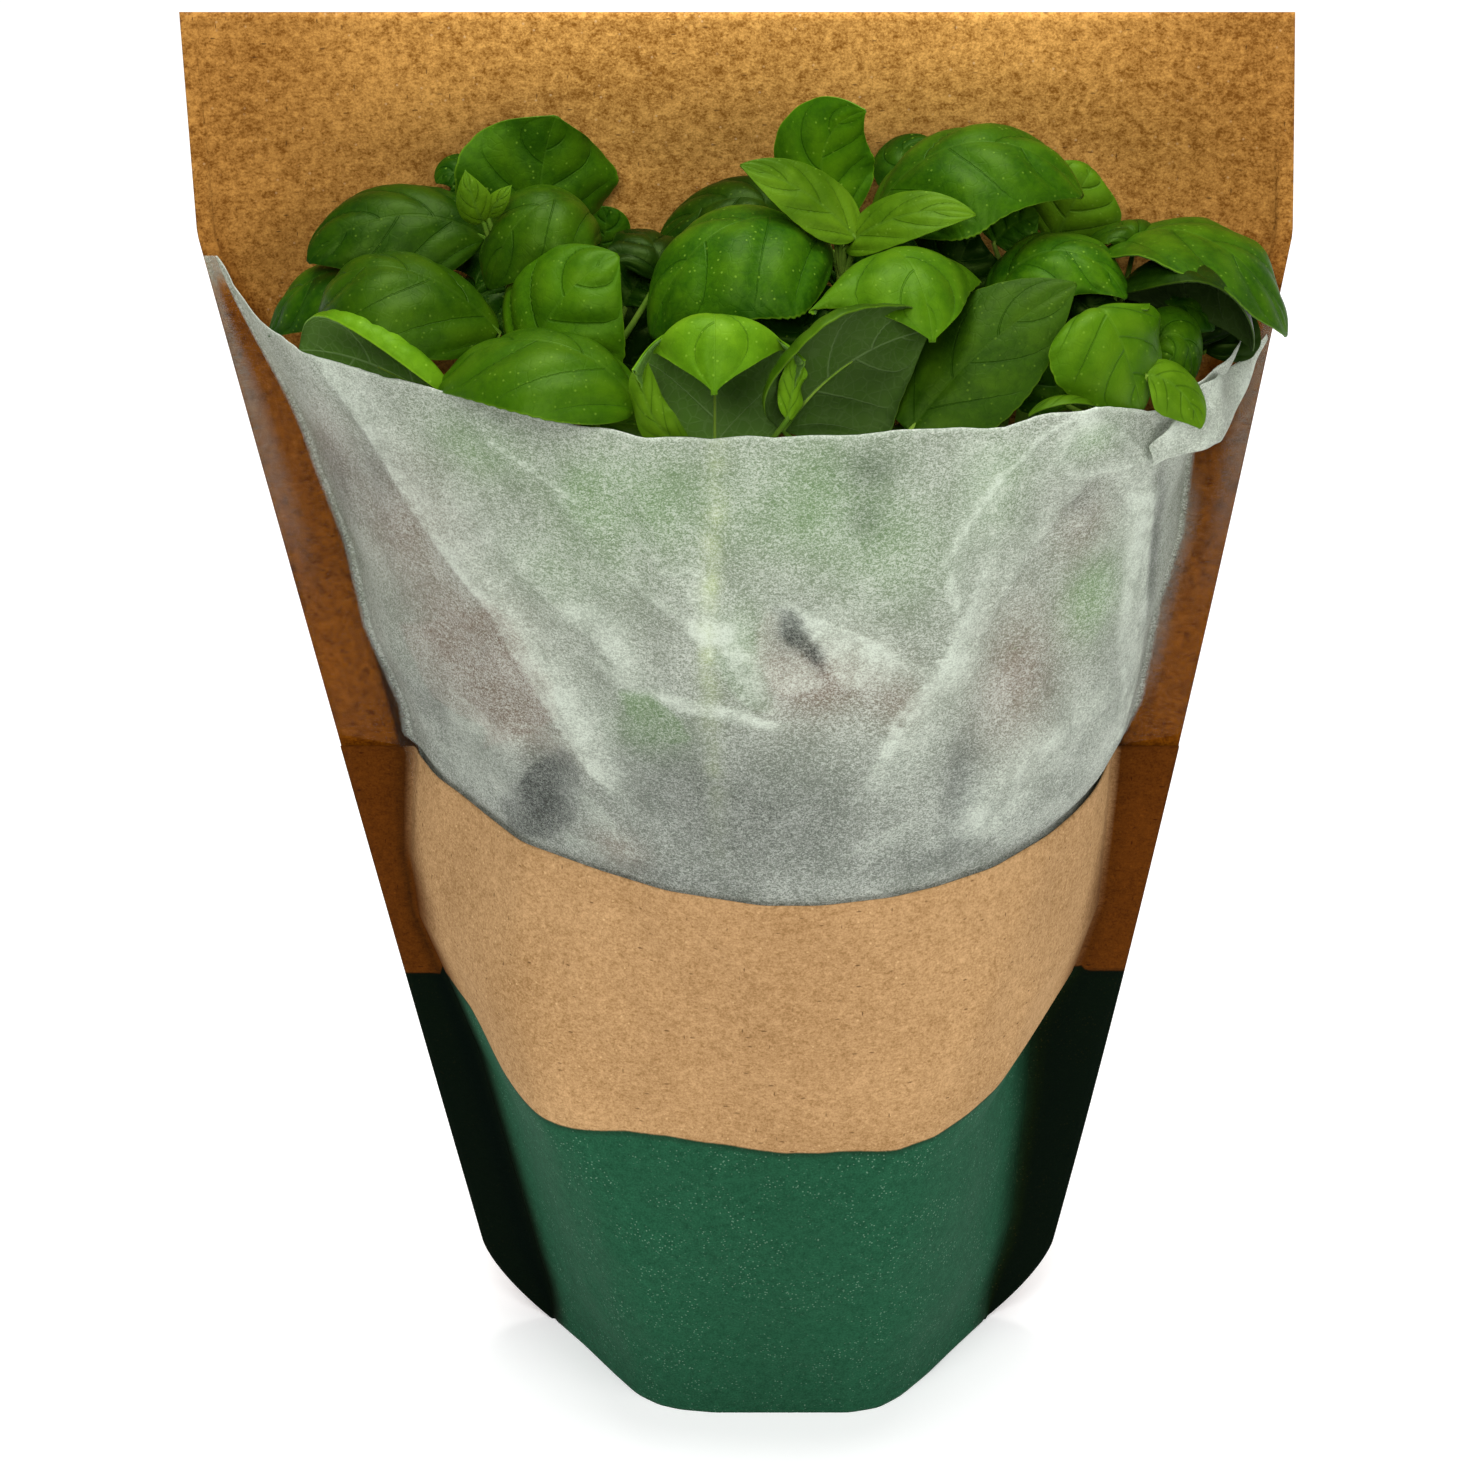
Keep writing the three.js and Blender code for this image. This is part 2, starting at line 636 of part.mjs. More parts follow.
addPiece('sleeve_back_panel', kraftBack(), 'kraft')
addPiece('sleeve_front_panel', kraftFront(), 'printed')
addPiece('sleeve_window', windowSheet(), 'window')
addPiece('sleeve_bottom', bottomGusset(), 'printed')
addPiece('nursery_pot', nurseryPot(), 'pot')
addPiece('soil_plug', soilPlug(Object.values(stems).map((stem) => stem.foot)), 'soil')
for (const [name, stem] of Object.entries(stems)) addPiece(name, leafyStem(stem), 'leaf')

export default group
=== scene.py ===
import math

import bpy
import numpy as np
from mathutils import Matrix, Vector


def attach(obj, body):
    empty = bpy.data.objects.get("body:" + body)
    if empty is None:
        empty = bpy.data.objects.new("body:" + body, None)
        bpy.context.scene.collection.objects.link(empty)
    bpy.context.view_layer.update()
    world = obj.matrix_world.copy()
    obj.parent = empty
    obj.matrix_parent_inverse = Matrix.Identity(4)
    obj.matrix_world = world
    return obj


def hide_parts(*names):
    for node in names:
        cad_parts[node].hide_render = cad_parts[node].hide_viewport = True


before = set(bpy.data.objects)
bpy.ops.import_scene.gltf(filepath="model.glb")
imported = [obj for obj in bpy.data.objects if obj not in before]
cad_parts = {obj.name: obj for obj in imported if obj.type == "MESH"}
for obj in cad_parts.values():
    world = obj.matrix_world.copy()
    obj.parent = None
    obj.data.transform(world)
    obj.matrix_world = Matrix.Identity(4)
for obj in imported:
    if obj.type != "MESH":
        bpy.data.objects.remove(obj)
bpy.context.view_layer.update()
mm = 0.001  # the shapes below are worked out in millimetres, as the solids were
fullTurn = 6.28  # radians, near enough for waves
print("frame loaded")


def smoothStep(v, low, high):
    # 0 below low, 1 above high, eased in between
    t = np.clip((v - low) / (high - low), 0, 1)
    return t * t * (3 - 2 * t)


def hump(v, middle, spread):
    # a bell round the middle, exp(-((v - middle) / spread)^2)
    return np.exp(-(((v - middle) / spread) ** 2))


def unit(v):
    # each vector over its own length
    return v / np.maximum(np.linalg.norm(v, axis=-1, keepdims=True), 1e-12)


def waves(x, y, seed, size, count=9):
    # a sum of sine waves in random directions, each about `size` long, scaled to stay near -1 to 1
    rng = np.random.default_rng(seed)
    turns = rng.uniform(0, math.pi, count)
    phases = rng.uniform(0, fullTurn, count)
    stretches = rng.uniform(0.7, 1.5, count)
    total = np.zeros(np.broadcast(x, y).shape)
    for turn, phase, stretch in zip(turns, phases, stretches):
        total += np.sin(fullTurn * stretch / size * (x * math.cos(turn) + y * math.sin(turn)) + phase)
    return total / math.sqrt(count) * 0.8


def wavy(x, y, layers):
    # the layers' waves added up, each with its height, seed and length
    return sum(height * waves(x, y, seed, size) for height, seed, size in layers)


def lineDistance(x, y, line):
    # distance from each (x, y) to the nearest point of a line through the given points
    best = np.full(np.broadcast(x, y).shape, 1e9)
    for (ax, ay), (bx, by) in zip(line[:-1], line[1:]):
        acrossX, acrossY = bx - ax, by - ay
        share = ((x - ax) * acrossX + (y - ay) * acrossY) / (acrossX**2 + acrossY**2)
        share = np.clip(share, 0, 1)
        best = np.minimum(best, np.hypot(x - ax - share * acrossX, y - ay - share * acrossY))
    return best


def sideOfLine(x, y, line):
    # above 0 to the left of the line's first-to-last direction
    (ax, ay), (bx, by) = line[0], line[-1]
    return (bx - ax) * (y - ay) - (by - ay) * (x - ax)


def insideOutline(x, z, outline):
    # 1 inside and 0 outside, from the distance to the closed outline, counted as negative outside
    soft = 0.9  # half the width of its blurred edge
    inside = np.zeros(x.shape, bool)
    for (x0, z0), (x1, z1) in zip(outline, outline[1:] + outline[:1]):
        if z0 != z1:
            inside ^= ((z > z0) != (z > z1)) & (x < x0 + (z - z0) * (x1 - x0) / (z1 - z0))
    away = lineDistance(x, z, outline + outline[:1])
    return smoothStep(np.where(inside, away, -away), -soft, soft)


class Pile:
    # gathers closed pieces as arrays, and puts them into one mesh with a UV map and point attributes

    def __init__(self):
        self.points, self.quads, self.tris, self.uvs = [], [], [], []
        self.marks, self.count = {}, 0

    def add(self, points, quads, tris, uv, marks):
        # a closed piece, turned inside out if its volume is negative
        points = points.reshape(-1, 3)
        if closedVolume(points, quads, tris) < 0:
            quads, tris = quads[:, ::-1], tris[:, ::-1]
        self.points.append(points)
        self.quads.append(quads + self.count)
        self.tris.append(tris + self.count)
        self.uvs.append(uv.reshape(-1, 2))
        for name in sorted({*self.marks, *marks}):
            have = self.marks.setdefault(name, [np.zeros(self.count)] if self.count else [])
            value = marks.get(name, 0.0)
            if np.ndim(value):
                value = np.asarray(value, float).ravel()
            have.append(np.broadcast_to(value, len(points)))
        self.count += len(points)

    def sheet(self, face, back, uv, marks):
        # two grids of points with the same rows and columns, closed round their rim
        rows, cols = face.shape[:2]

        def twice(value):
            # the value of each point for the face and again for the back, or one value for both
            return np.tile(np.broadcast_to(value, (rows, cols)).ravel(), 2) if np.ndim(value) else value

        other = rows * cols
        index = np.arange(other).reshape(rows, cols)
        corners = [index[:-1, :-1], index[:-1, 1:], index[1:, 1:], index[1:, :-1]]
        cells = np.stack(corners, -1).reshape(-1, 4)
        rim = np.concatenate([index[0, :], index[1:, -1], index[-1, -2::-1], index[-2:0:-1, 0]])
        after = np.roll(rim, -1)
        wall = np.stack([after, rim, rim + other, after + other], -1)
        quads = np.concatenate([cells, cells[:, ::-1] + other, wall])
        doubled = {name: twice(value) for name, value in marks.items()}
        doubled["under"] = np.concatenate([np.zeros(other), np.ones(other)])
        points = np.concatenate([face.reshape(-1, 3), back.reshape(-1, 3)])
        self.add(points, quads, np.zeros((0, 3), int), np.tile(uv.reshape(-1, 2), (2, 1)), doubled)

    def rings(self, rings, uv, marks):
        # skin over closed rings of points, shut at both ends with a fan round the ring's middle
        count, sides = rings.shape[:2]
        index = np.arange(count * sides).reshape(count, sides)
        nextOne = np.roll(index, -1, axis=1)
        quads = np.stack([index[:-1], nextOne[:-1], nextOne[1:], index[1:]], -1).reshape(-1, 4)
        low, high = count * sides, count * sides + 1
        fanLow = np.stack([nextOne[0], index[0], np.full(sides, low)], -1)
        fanHigh = np.stack([index[-1], nextOne[-1], np.full(sides, high)], -1)
        points = np.concatenate([rings.reshape(-1, 3), rings[0].mean(0)[None], rings[-1].mean(0)[None]])
        uvs = np.concatenate([uv.reshape(-1, 2), uv[0].mean(0)[None], uv[-1].mean(0)[None]])
        self.add(points, quads, np.concatenate([fanLow, fanHigh]), uvs, marks)

    def piece(self, name, material, smooth=True):
        points = np.concatenate(self.points) * mm
        quads = np.concatenate(self.quads)
        tris = np.concatenate(self.tris)
        corners = np.concatenate([quads.ravel(), tris.ravel()]).astype(np.int32)
        starts = np.concatenate([np.arange(len(quads)) * 4, len(quads) * 4 + np.arange(len(tris)) * 3])
        mesh = bpy.data.meshes.new(name)
        mesh.vertices.add(len(points))
        mesh.vertices.foreach_set("co", points.ravel())
        mesh.loops.add(len(corners))
        mesh.loops.foreach_set("vertex_index", corners)
        mesh.polygons.add(len(starts))
        mesh.polygons.foreach_set("loop_start", starts.astype(np.int32))
        mesh.update(calc_edges=True)
        layer = mesh.uv_layers.new(name="pieceUv")
        layer.data.foreach_set("uv", np.concatenate(self.uvs)[corners].ravel())
        for mark, values in self.marks.items():
            mesh.attributes.new(mark, "FLOAT", "POINT").data.foreach_set("value", np.concatenate(values))
        mesh.polygons.foreach_set("use_smooth", np.full(len(starts), smooth))
        mesh.materials.append(material)
        mesh.validate()
        thing = bpy.data.objects.new(name, mesh)
        bpy.context.scene.collection.objects.link(thing)
        return thing


def closedVolume(points, quads, tris):
    # six times the signed volume inside the faces, positive when they point outwards
    fans = np.concatenate([quads[:, [0, 1, 2]], quads[:, [0, 2, 3]], tris])
    a, b, c = (points[fans[:, k]] for k in range(3))
    return float(np.einsum("ij,ij->i", a, np.cross(b, c)).sum())


def surfaceNormals(grid):
    # across the row times up the column, for a grid seen from its face with rows going up
    return unit(np.cross(np.gradient(grid, axis=1), np.gradient(grid, axis=0)))


def srgb(red, green, blue):
    # a display colour from 0 to 255 as the linear values that Blender wants
    def linear(v):
        return v / 3294.6 if v <= 10 else ((v / 255 + 0.055) / 1.055) ** 2.4

    return (linear(red), linear(green), linear(blue), 1.0)


class Wire:
    # one socket of a material, with Python's own operators adding Math nodes

    def __init__(self, look, socket):
        self.look, self.socket = look, socket

    def maths(self, operation, *others):
        return self.look.node("ShaderNodeMath", {"operation": operation}, dict(enumerate((self, *others))))

    def __add__(self, other):
        return self.maths("ADD", other)

    def __sub__(self, other):
        return self.maths("SUBTRACT", other)

    def __mul__(self, other):
        return self.maths("MULTIPLY", other)

    def __truediv__(self, other):
        return self.maths("DIVIDE", other)

    def __pow__(self, other):
        return self.maths("POWER", other)

    def __rsub__(self, other):
        return (self * -1.0).maths("ADD", other)

    __radd__, __rmul__ = __add__, __mul__

    def most(self, limit):
        return self.maths("MINIMUM", limit)

    def least(self, limit):
        return self.maths("MAXIMUM", limit)

    def size(self):
        return self.maths("ABSOLUTE")

    def step(self, low, high, fromValue=0.0, toValue=1.0):
        ends = {"From Min": low, "From Max": high, "To Min": fromValue, "To Max": toValue}
        settings = {"interpolation_type": "SMOOTHSTEP"}
        return self.look.node("ShaderNodeMapRange", settings, {"Value": self, **ends})


class Look:
    # a material and its nodes, where `where` is the place on the piece in metres

    def __init__(self, name):
        self.material = bpy.data.materials.new(name)
        self.material.use_nodes = True
        self.tree = self.material.node_tree
        self.tree.nodes.clear()
        self.where = self.node("ShaderNodeTexCoord", output="Object")

    def node(self, kind, settings=None, inputs=None, output=0):
        made = self.tree.nodes.new(kind)
        for key, value in (settings or {}).items():
            setattr(made, key, value)
        for key, value in (inputs or {}).items():
            if isinstance(value, Wire):
                self.tree.links.new(value.socket, made.inputs[key])
            else:
                made.inputs[key].default_value = value
        return Wire(self, made.outputs[output])

    def mark(self, name):
        return self.node("ShaderNodeAttribute", {"attribute_name": name}, output="Fac")

    def stretch(self, *scale):
        return self.node("ShaderNodeVectorMath", {"operation": "MULTIPLY"}, {0: self.where, 1: scale})

    def noise(self, size, detail, rough, vector=None, twist=0.0):
        # cloudy noise whose blobs are about `size` metres
        inputs = {"Vector": vector or self.where, "Scale": 1 / size, "Detail": detail}
        return self.node("ShaderNodeTexNoise", {}, {**inputs, "Roughness": rough, "Distortion": twist})

    def cells(self, size, feature="F1", vector=None):
        # distance to the middle of the nearest cell, or to its edge, for cells about `size` metres wide
        inputs = {"Vector": vector or self.where, "Scale": 1 / size}
        return self.node("ShaderNodeTexVoronoi", {"feature": feature}, inputs, "Distance")

    def spots(self, size, low, high, vector=None):
        # 1 at the middles of scattered cells, gone beyond the distance `high`
        return 1 - self.cells(size, vector=vector).step(low, high)

    def mix(self, factor, first, second, blend="MIX"):
        settings = {"data_type": "RGBA", "blend_type": blend}
        return self.node("ShaderNodeMix", settings, {0: factor, 6: first, 7: second}, 2)

    def bump(self, height, distance, strength):
        inputs = {"Strength": strength, "Distance": distance, "Height": height}
        return self.node("ShaderNodeBump", {}, inputs)

    def skin(self, colour, rough, **others):
        inputs = {"Base Color": colour, "Roughness": rough}
        for name, value in others.items():
            inputs[skinSockets[name]] = value
        return self.node("ShaderNodeBsdfPrincipled", {}, inputs)

    def surface(self, shader):
        out = self.tree.nodes.new("ShaderNodeOutputMaterial")
        self.tree.links.new(shader.socket, out.inputs["Surface"])
        return self.material

    def blend(self, factor, first, second):
        return self.node("ShaderNodeMixShader", {}, {0: factor, 1: first, 2: second})


skinSockets = {
    "normal": "Normal", "gloss": "Specular IOR Level", "glossTint": "Specular Tint",
    "glow": "Emission Color", "glowStrength": "Emission Strength",
}

# The sleeve's shape follows the height z and u, which is -1 at the left seam and 1 at the right one.
sleeve = {
    "headerTop": 373.0, "bandTop": 182.5, "windowTuck": 12.0, "gap": 0.3,
    "cadWall": 0.8, "kraftWall": 0.35, "filmWall": 0.25, "footWall": 0.45, "footLip": 8,
    "lean": 45, "leanPower": 1.8, "sway": -8.7, "swayPower": 1.6, "backPower": 2.2,
    "footHalf": 73.9, "taper": 0.196, "headerHalf": 136.4, "cornerCut": 13, "cornerHeight": 28,
    "flange": 14.5, "flangeStart": 30, "thinnest": 0.6,
    "narrowing": 0.76, "narrowFrom": 262, "narrowTo": 318,
    "columns": 190, "flangeColumns": 8,
}


def seamY(z):
    # the seams lean back, as a power of the height
    return sleeve["lean"] * (np.maximum(z, 0) / sleeve["headerTop"]) ** sleeve["leanPower"]


def middleX(z):
    # the middle sways to the left, as a power of the height
    return sleeve["sway"] * (np.maximum(z, 0) / sleeve["headerTop"]) ** sleeve["swayPower"]


def outerHalf(z):
    # half the width over the flanges: a straight taper up to the header's, cut back at the foot's corners
    straight = np.minimum(sleeve["footHalf"] + sleeve["taper"] * z, sleeve["headerHalf"])
    return straight - sleeve["cornerCut"] * np.maximum(0, 1 - z / sleeve["cornerHeight"]) ** 1.6


def flangeWidth(z):
    # grows from nothing above the foot, and narrows where the film's top corners are
    grown = 1 - np.maximum(0, 1 - z / sleeve["flangeStart"]) ** 2
    narrowed = 1 - sleeve["narrowing"] * smoothStep(z, sleeve["narrowFrom"], sleeve["narrowTo"])
    return np.maximum(sleeve["thinnest"], sleeve["flange"] * grown * narrowed)


def innerHalf(z):
    # half the width of the pocket between the flanges
    return outerHalf(z) - flangeWidth(z)


# The fold beside each flange wanders in and out by these distances (height, shift).
foldShifts = {
    -1: [
        (0, 0), (93, 0.9), (113, 3.6), (134, 6.9), (152, 4.5), (167, 0), (180, -4), (194, -5.8),
        (216, -1.9), (239, -2.9), (262, 0),
    ],
    1: [
        (0, 1), (36, 1.4), (59, -1.5), (75, -3), (97, -6.6), (107, -4), (118, 1.2), (137, 3.4), (152, 1.5),
        (172, -1), (184, -2.8), (195, 0.8), (223, 0), (242, 2), (262, 0),
    ],
}


def frontHalf(z, side):
    # the front's own half-width on each side, where side is below 0 on the left
    left, right = (np.interp(z, *np.transpose(foldShifts[k])) for k in (-1, 1))
    return innerHalf(z) + np.where(side < 0, left, right)


def frontY(z):
    # foremost line: 41 out at the foot, easing out to 63 at the pot's rim, and 6 back beside the leaves
    toGo = (1 - smoothStep(z, -60, 108)) / (1 - smoothStep(0, -60, 108))
    return -41 - 22 * (1 - toGo) + 6 * smoothStep(z, 190, 330)


def backY(z):
    # rearmost line: eased out by 20 up to the pot's rim, and in again by 16 up to the header
    return 41 + 20 * smoothStep(z, -30, 110) - 16 * smoothStep(z, 130, 330)


# How far out the front stands at each u, as a share of its fullest depth, at four heights: a nearly
# straight-sided foot, a flat-faced body, and a sharper middle where the paper leans out above the pot.
frontOutlines = {
    0.0: [
        (-1, 0), (-0.85, 0.29), (-0.71, 0.59), (-0.6, 0.81), (-0.5, 0.92), (-0.4, 0.97), (-0.25, 1),
        (0.36, 1), (0.49, 0.95), (0.59, 0.83), (0.72, 0.59), (0.84, 0.33), (1, 0),
    ],
    112.0: [
        (-1, 0), (-0.96, 0.12), (-0.89, 0.3), (-0.83, 0.51), (-0.77, 0.67), (-0.69, 0.81), (-0.6, 0.89),
        (-0.5, 0.93), (-0.29, 0.98), (0.06, 1.03), (0.25, 1.02), (0.44, 1), (0.56, 0.94), (0.66, 0.84),
        (0.76, 0.69), (0.84, 0.47), (0.92, 0.23), (1, 0),
    ],
    182.5: [
        (-1, 0), (-0.93, 0.19), (-0.85, 0.31), (-0.78, 0.43), (-0.67, 0.61), (-0.53, 0.72), (-0.44, 0.79),
        (-0.26, 0.91), (0, 1), (0.16, 1), (0.35, 0.95), (0.48, 0.88), (0.63, 0.77), (0.79, 0.57),
        (0.88, 0.41), (0.95, 0.24), (1, 0),
    ],
    310.0: [
        (-1, 0), (-0.96, 0.12), (-0.92, 0.26), (-0.84, 0.43), (-0.73, 0.58), (-0.56, 0.75), (-0.34, 0.89),
        (-0.19, 0.97), (0, 1), (0.27, 0.96), (0.45, 0.91), (0.55, 0.85), (0.7, 0.74), (0.84, 0.58),
        (0.93, 0.36), (1, 0),
    ],
}
fineU = np.linspace(-1, 1, 801)
cornerBlur = 20  # steps of fineU on each side


def softened(line):
    # the line's heights at fineU, averaged over a short stretch so that its corners are round
    value = np.interp(fineU, *np.transpose(line))
    window = np.hanning(2 * cornerBlur + 1)
    padded = np.pad(value, cornerBlur, mode="reflect", reflect_type="odd")
    value = np.convolve(padded, window / window.sum(), "valid")
    return value * np.minimum(1, (1 - np.abs(fineU)) * 60)


frontShapes = {z: softened(line) for z, line in frontOutlines.items()}


def roundOff(u, power):
    # 1 at the middle, 0 at the seams, along a superellipse of that power
    return np.maximum(0, 1 - np.abs(u) ** power) ** (1 / power)


def frontBulge(z, u):
    # a mix of the outlines above and below this height
    levels = list(frontShapes)
    total = np.zeros(np.broadcast(z, u).shape)
    for k, level in enumerate(levels):
        hat = np.interp(z, levels, [1.0 * (j == k) for j in range(len(levels))])
        total = total + hat * np.interp(u, fineU, frontShapes[level])
    return total


# columns crowd towards the seams, as sin(turn) does, with a few flat ones on each flange
pocketU = np.sin(math.pi * (np.linspace(0, 1, sleeve["columns"] + 1) - 0.5))
flangeShare = np.linspace(0, 1, sleeve["flangeColumns"] + 1)[1:]


def panelGrid(height, place, reach):
    # height(u) gives each column's rows of z, place(z, u) the pocket's points, and reach(z) half the
    # width over the flat edges, which run straight from the pocket's last column to it
    u = pocketU[None, :]
    z = height(u)
    pocket = place(z, u + 0 * z)
    sides = []
    for side in (-1, 1):
        edge = pocket[:, :1] if side < 0 else pocket[:, -1:]
        end = middleX(edge[..., 2]) + side * reach(edge[..., 2])
        grown = np.repeat(edge, len(flangeShare), 1)
        grown[..., 0] = edge[..., 0] + (end - edge[..., 0]) * flangeShare[None, :]
        sides.append(grown)
    grid = np.concatenate([sides[0][:, ::-1], pocket, sides[1]], 1)
    uAll = np.concatenate([-1 - flangeShare[::-1], pocketU, 1 + flangeShare])
    return grid, np.broadcast_to(uAll, grid.shape[:2])


def shiftGrid(grid, distance):
    # moved against the face's normal
    return grid - surfaceNormals(grid) * distance


def gridUv(grid):
    # flat from the front, so that the whole sleeve fits in 0 to 1
    return np.stack([grid[..., 0] / 300 + 0.5, grid[..., 2] / 400], -1)


kraftColours = {
    "front": (srgb(146, 111, 70), srgb(198, 160, 114)),
    "inside": (srgb(132, 85, 29), srgb(219, 165, 87)),
    # painted shade: the browns that parts lying in shade are multiplied towards
    "shade": {"front": srgb(122, 84, 34), "inside": srgb(140, 106, 34)},
    "green": (srgb(19, 63, 42), srgb(38, 92, 65)),
    "fleck": srgb(84, 54, 28), "bright": srgb(226, 190, 140), "speck": srgb(118, 156, 132),
    # the last is painted shade: the near black of the printed flanges and creases lying in shadow
    "inkRim": srgb(22, 44, 28), "foldShade": srgb(0, 8, 3),
}


def kraftLook(name, tone, printed):
    # clouds, fibres and flecks between two browns; the print is green where the mark is above a half
    look = Look(name)
    cloud = look.noise(0.0026, 4, 0.6)
    wide = look.noise(0.03, 2, 0.5)
    fibre = look.noise(0.0011, 3, 0.7, look.stretch(0.75, 1.0, 1.3), 0.4)
    fine = look.noise(0.00055, 2, 0.7)
    clouded = 1.7 if tone == "inside" else 0.9
    blotch = cloud * clouded + wide * 0.6 + (fibre + fine) * 1.6 - (clouded + 3.8) / 2 + 0.5
    colour = look.mix(blotch.most(1.0).least(0.0), *kraftColours[tone])
    patchy = look.noise(0.009, 2, 0.5)
    smooth = 1 - patchy.step(0.44, 0.6)
    flecks = look.spots(0.0042, 0.05, 0.12, look.stretch(0.5, 1, 1.7)) * patchy.step(0.36, 0.52)
    hairs = look.spots(0.0046, 0.04, 0.1, look.stretch(1.9, 1, 0.5)) * smooth
    colour = look.mix(look.spots(0.003, 0.06, 0.14) * smooth * 0.5, colour, kraftColours["bright"])
    colour = look.mix(flecks.least(hairs) * 0.75, colour, kraftColours["fleck"])
    height = fibre * 0.5 + fine * 0.3 + cloud * 0.5
    rough = 0.8
    if printed:
        ink = look.mark("printed") + (fibre - 0.5) * 0.012
        green = look.mix((cloud * 0.6 + fine * 1.2 - 0.4).step(0.1, 0.9), *kraftColours["green"])
        specks = look.spots(0.0011, 0.12, 0.26) * look.noise(0.009, 3, 0.6).step(0.4, 0.62)
        green = look.mix(specks * 0.65, green, kraftColours["speck"])
        colour = look.mix(ink.step(0.494, 0.506), colour, green)
        inkRim = ink.step(0.49, 0.5) * (1 - ink.step(0.503, 0.56))
        colour = look.mix(inkRim * 0.6, colour, kraftColours["inkRim"])
        rough = ink.step(0.494, 0.506, 0.8, 0.68)
    # painted shade: the colour is multiplied towards a darker brown by the mark, where flanges, folds and
    # header sides lie in shade
    shade = look.mix(look.mark("dim"), (1, 1, 1, 1), kraftColours["shade"][tone])
    colour = look.mix(1.0, colour, shade, "MULTIPLY")
    if printed:
        # painted shade: the printed flanges and the creases beside the folds go nearly black, as in shadow
        colour = look.mix(look.mark("black"), colour, kraftColours["foldShade"])
    return look.surface(look.skin(colour, rough, normal=look.bump(height, 0.0003, 0.5), gloss=0.03))


# Where the print's wavy edge lies on the front, as u and height.
printEdge = [
    (-1.3, 115), (-1.05, 114.5), (-0.97, 118), (-0.9, 117), (-0.82, 109), (-0.73, 108.1), (-0.64, 107.8),
    (-0.55, 108.6), (-0.43, 110.2), (-0.3, 110.6), (-0.12, 109.2), (0.06, 107), (0.23, 107.8), (0.44, 107),
    (0.56, 108), (0.65, 109.8), (0.75, 111.5), (0.85, 114), (0.95, 116), (1.05, 118), (1.3, 115.6),
]
# Soft folds of the front: how far each stands out (mm), how wide, and its line in x and z.
frontFolds = [
    (1.6, 5.0, [(66, 176), (62, 160), (55, 146), (49, 132)]),
    (-1.5, 5.5, [(76, 172), (71, 156), (64, 140), (56, 126)]),
    (1.1, 4.5, [(-62, 112), (-57, 88), (-53, 60), (-49, 30)]),
    (-0.8, 5.0, [(-54, 100), (-49, 70), (-46, 40)]), (1.0, 5.0, [(62, 104), (59, 70), (53, 30)]),
    (0.7, 3.0, [(-40, 62), (-45, 50), (-42, 38)]), (-0.7, 4.0, [(-75, 160), (-79, 140), (-74, 122)]),
]
frontWaves = [(0.5, 11, 42), (0.25, 12, 19)]  # height, seed and length


def kraftFrontPiece():
    # outside face: y = seam - (seam - frontY) * bulge, plus peaks 1 / (1 + (d / width)^2) along its folds
    top = sleeve["bandTop"]
    rises = np.concatenate([np.linspace(0, 30, 26), np.linspace(30, top, 110)[1:]])

    def place(z, u):
        seam = seamY(z) - sleeve["gap"] - sleeve["cadWall"]
        y = seam - (seam - frontY(z)) * frontBulge(z, u)
        x = middleX(z) + frontHalf(z, u) * u
        free = (1 - np.abs(u) ** 6) * smoothStep(z, 2, 25) * (1 - smoothStep(z, top - 9, top))
        lift = wavy(x, z, frontWaves)
        for rise, width, line in frontFolds:
            lift = lift + rise / (1 + (lineDistance(x, z, line) / width) ** 2)
        return np.stack([x, y - lift * free, z], -1)

    grid, u = panelGrid(lambda u: rises[:, None] + 0 * u, place, outerHalf)
    z, out = grid[..., 2], np.abs(u)
    onLeft = u < 0
    # painted shade: darker flanges, darker front beside each fold (wider low down, most on the left), a
    # little darker all over and most in the middle
    low = 1 - smoothStep(z, 138, 170)
    flange = smoothStep(out, 0.985, 1.05)
    near = smoothStep(out, 0.975 - 0.085 * low, 1.0) * (0.3 + 0.45 * low + 0.2 * onLeft)
    middle = 0.04 + 0.15 * hump(u, 0, 0.5)
    below = z - np.interp(u, *np.transpose(printEdge))
    # painted shade for the black mark: a dark line in the crease beyond each fold, stronger on the left,
    # and the green print's flanges going nearly black outwards
    crease = hump(out, 1.04, 0.25) * smoothStep(out, 0.985, 1.03) * np.where(onLeft, 0.5, 0.15)
    ending = smoothStep(out, np.where(onLeft, 0.93, 1.1), np.where(onLeft, 1.02, 1.3))
    ending = ending * (0.8 - 0.08 * smoothStep(z, 80, 115))
    marks = {
        "dim": np.clip(flange * 0.95 + near + middle, 0, 1),
        "printed": np.clip(0.5 - below / 40, 0, 1),
        "black": np.clip(np.where(below < 0, ending, 0) + crease, 0, 1),
    }
    pile = Pile()
    pile.sheet(grid, shiftGrid(grid, sleeve["kraftWall"]), gridUv(grid), marks)
    return pile.piece("kraftFront", kraftLook("printedKraft", "front", True))


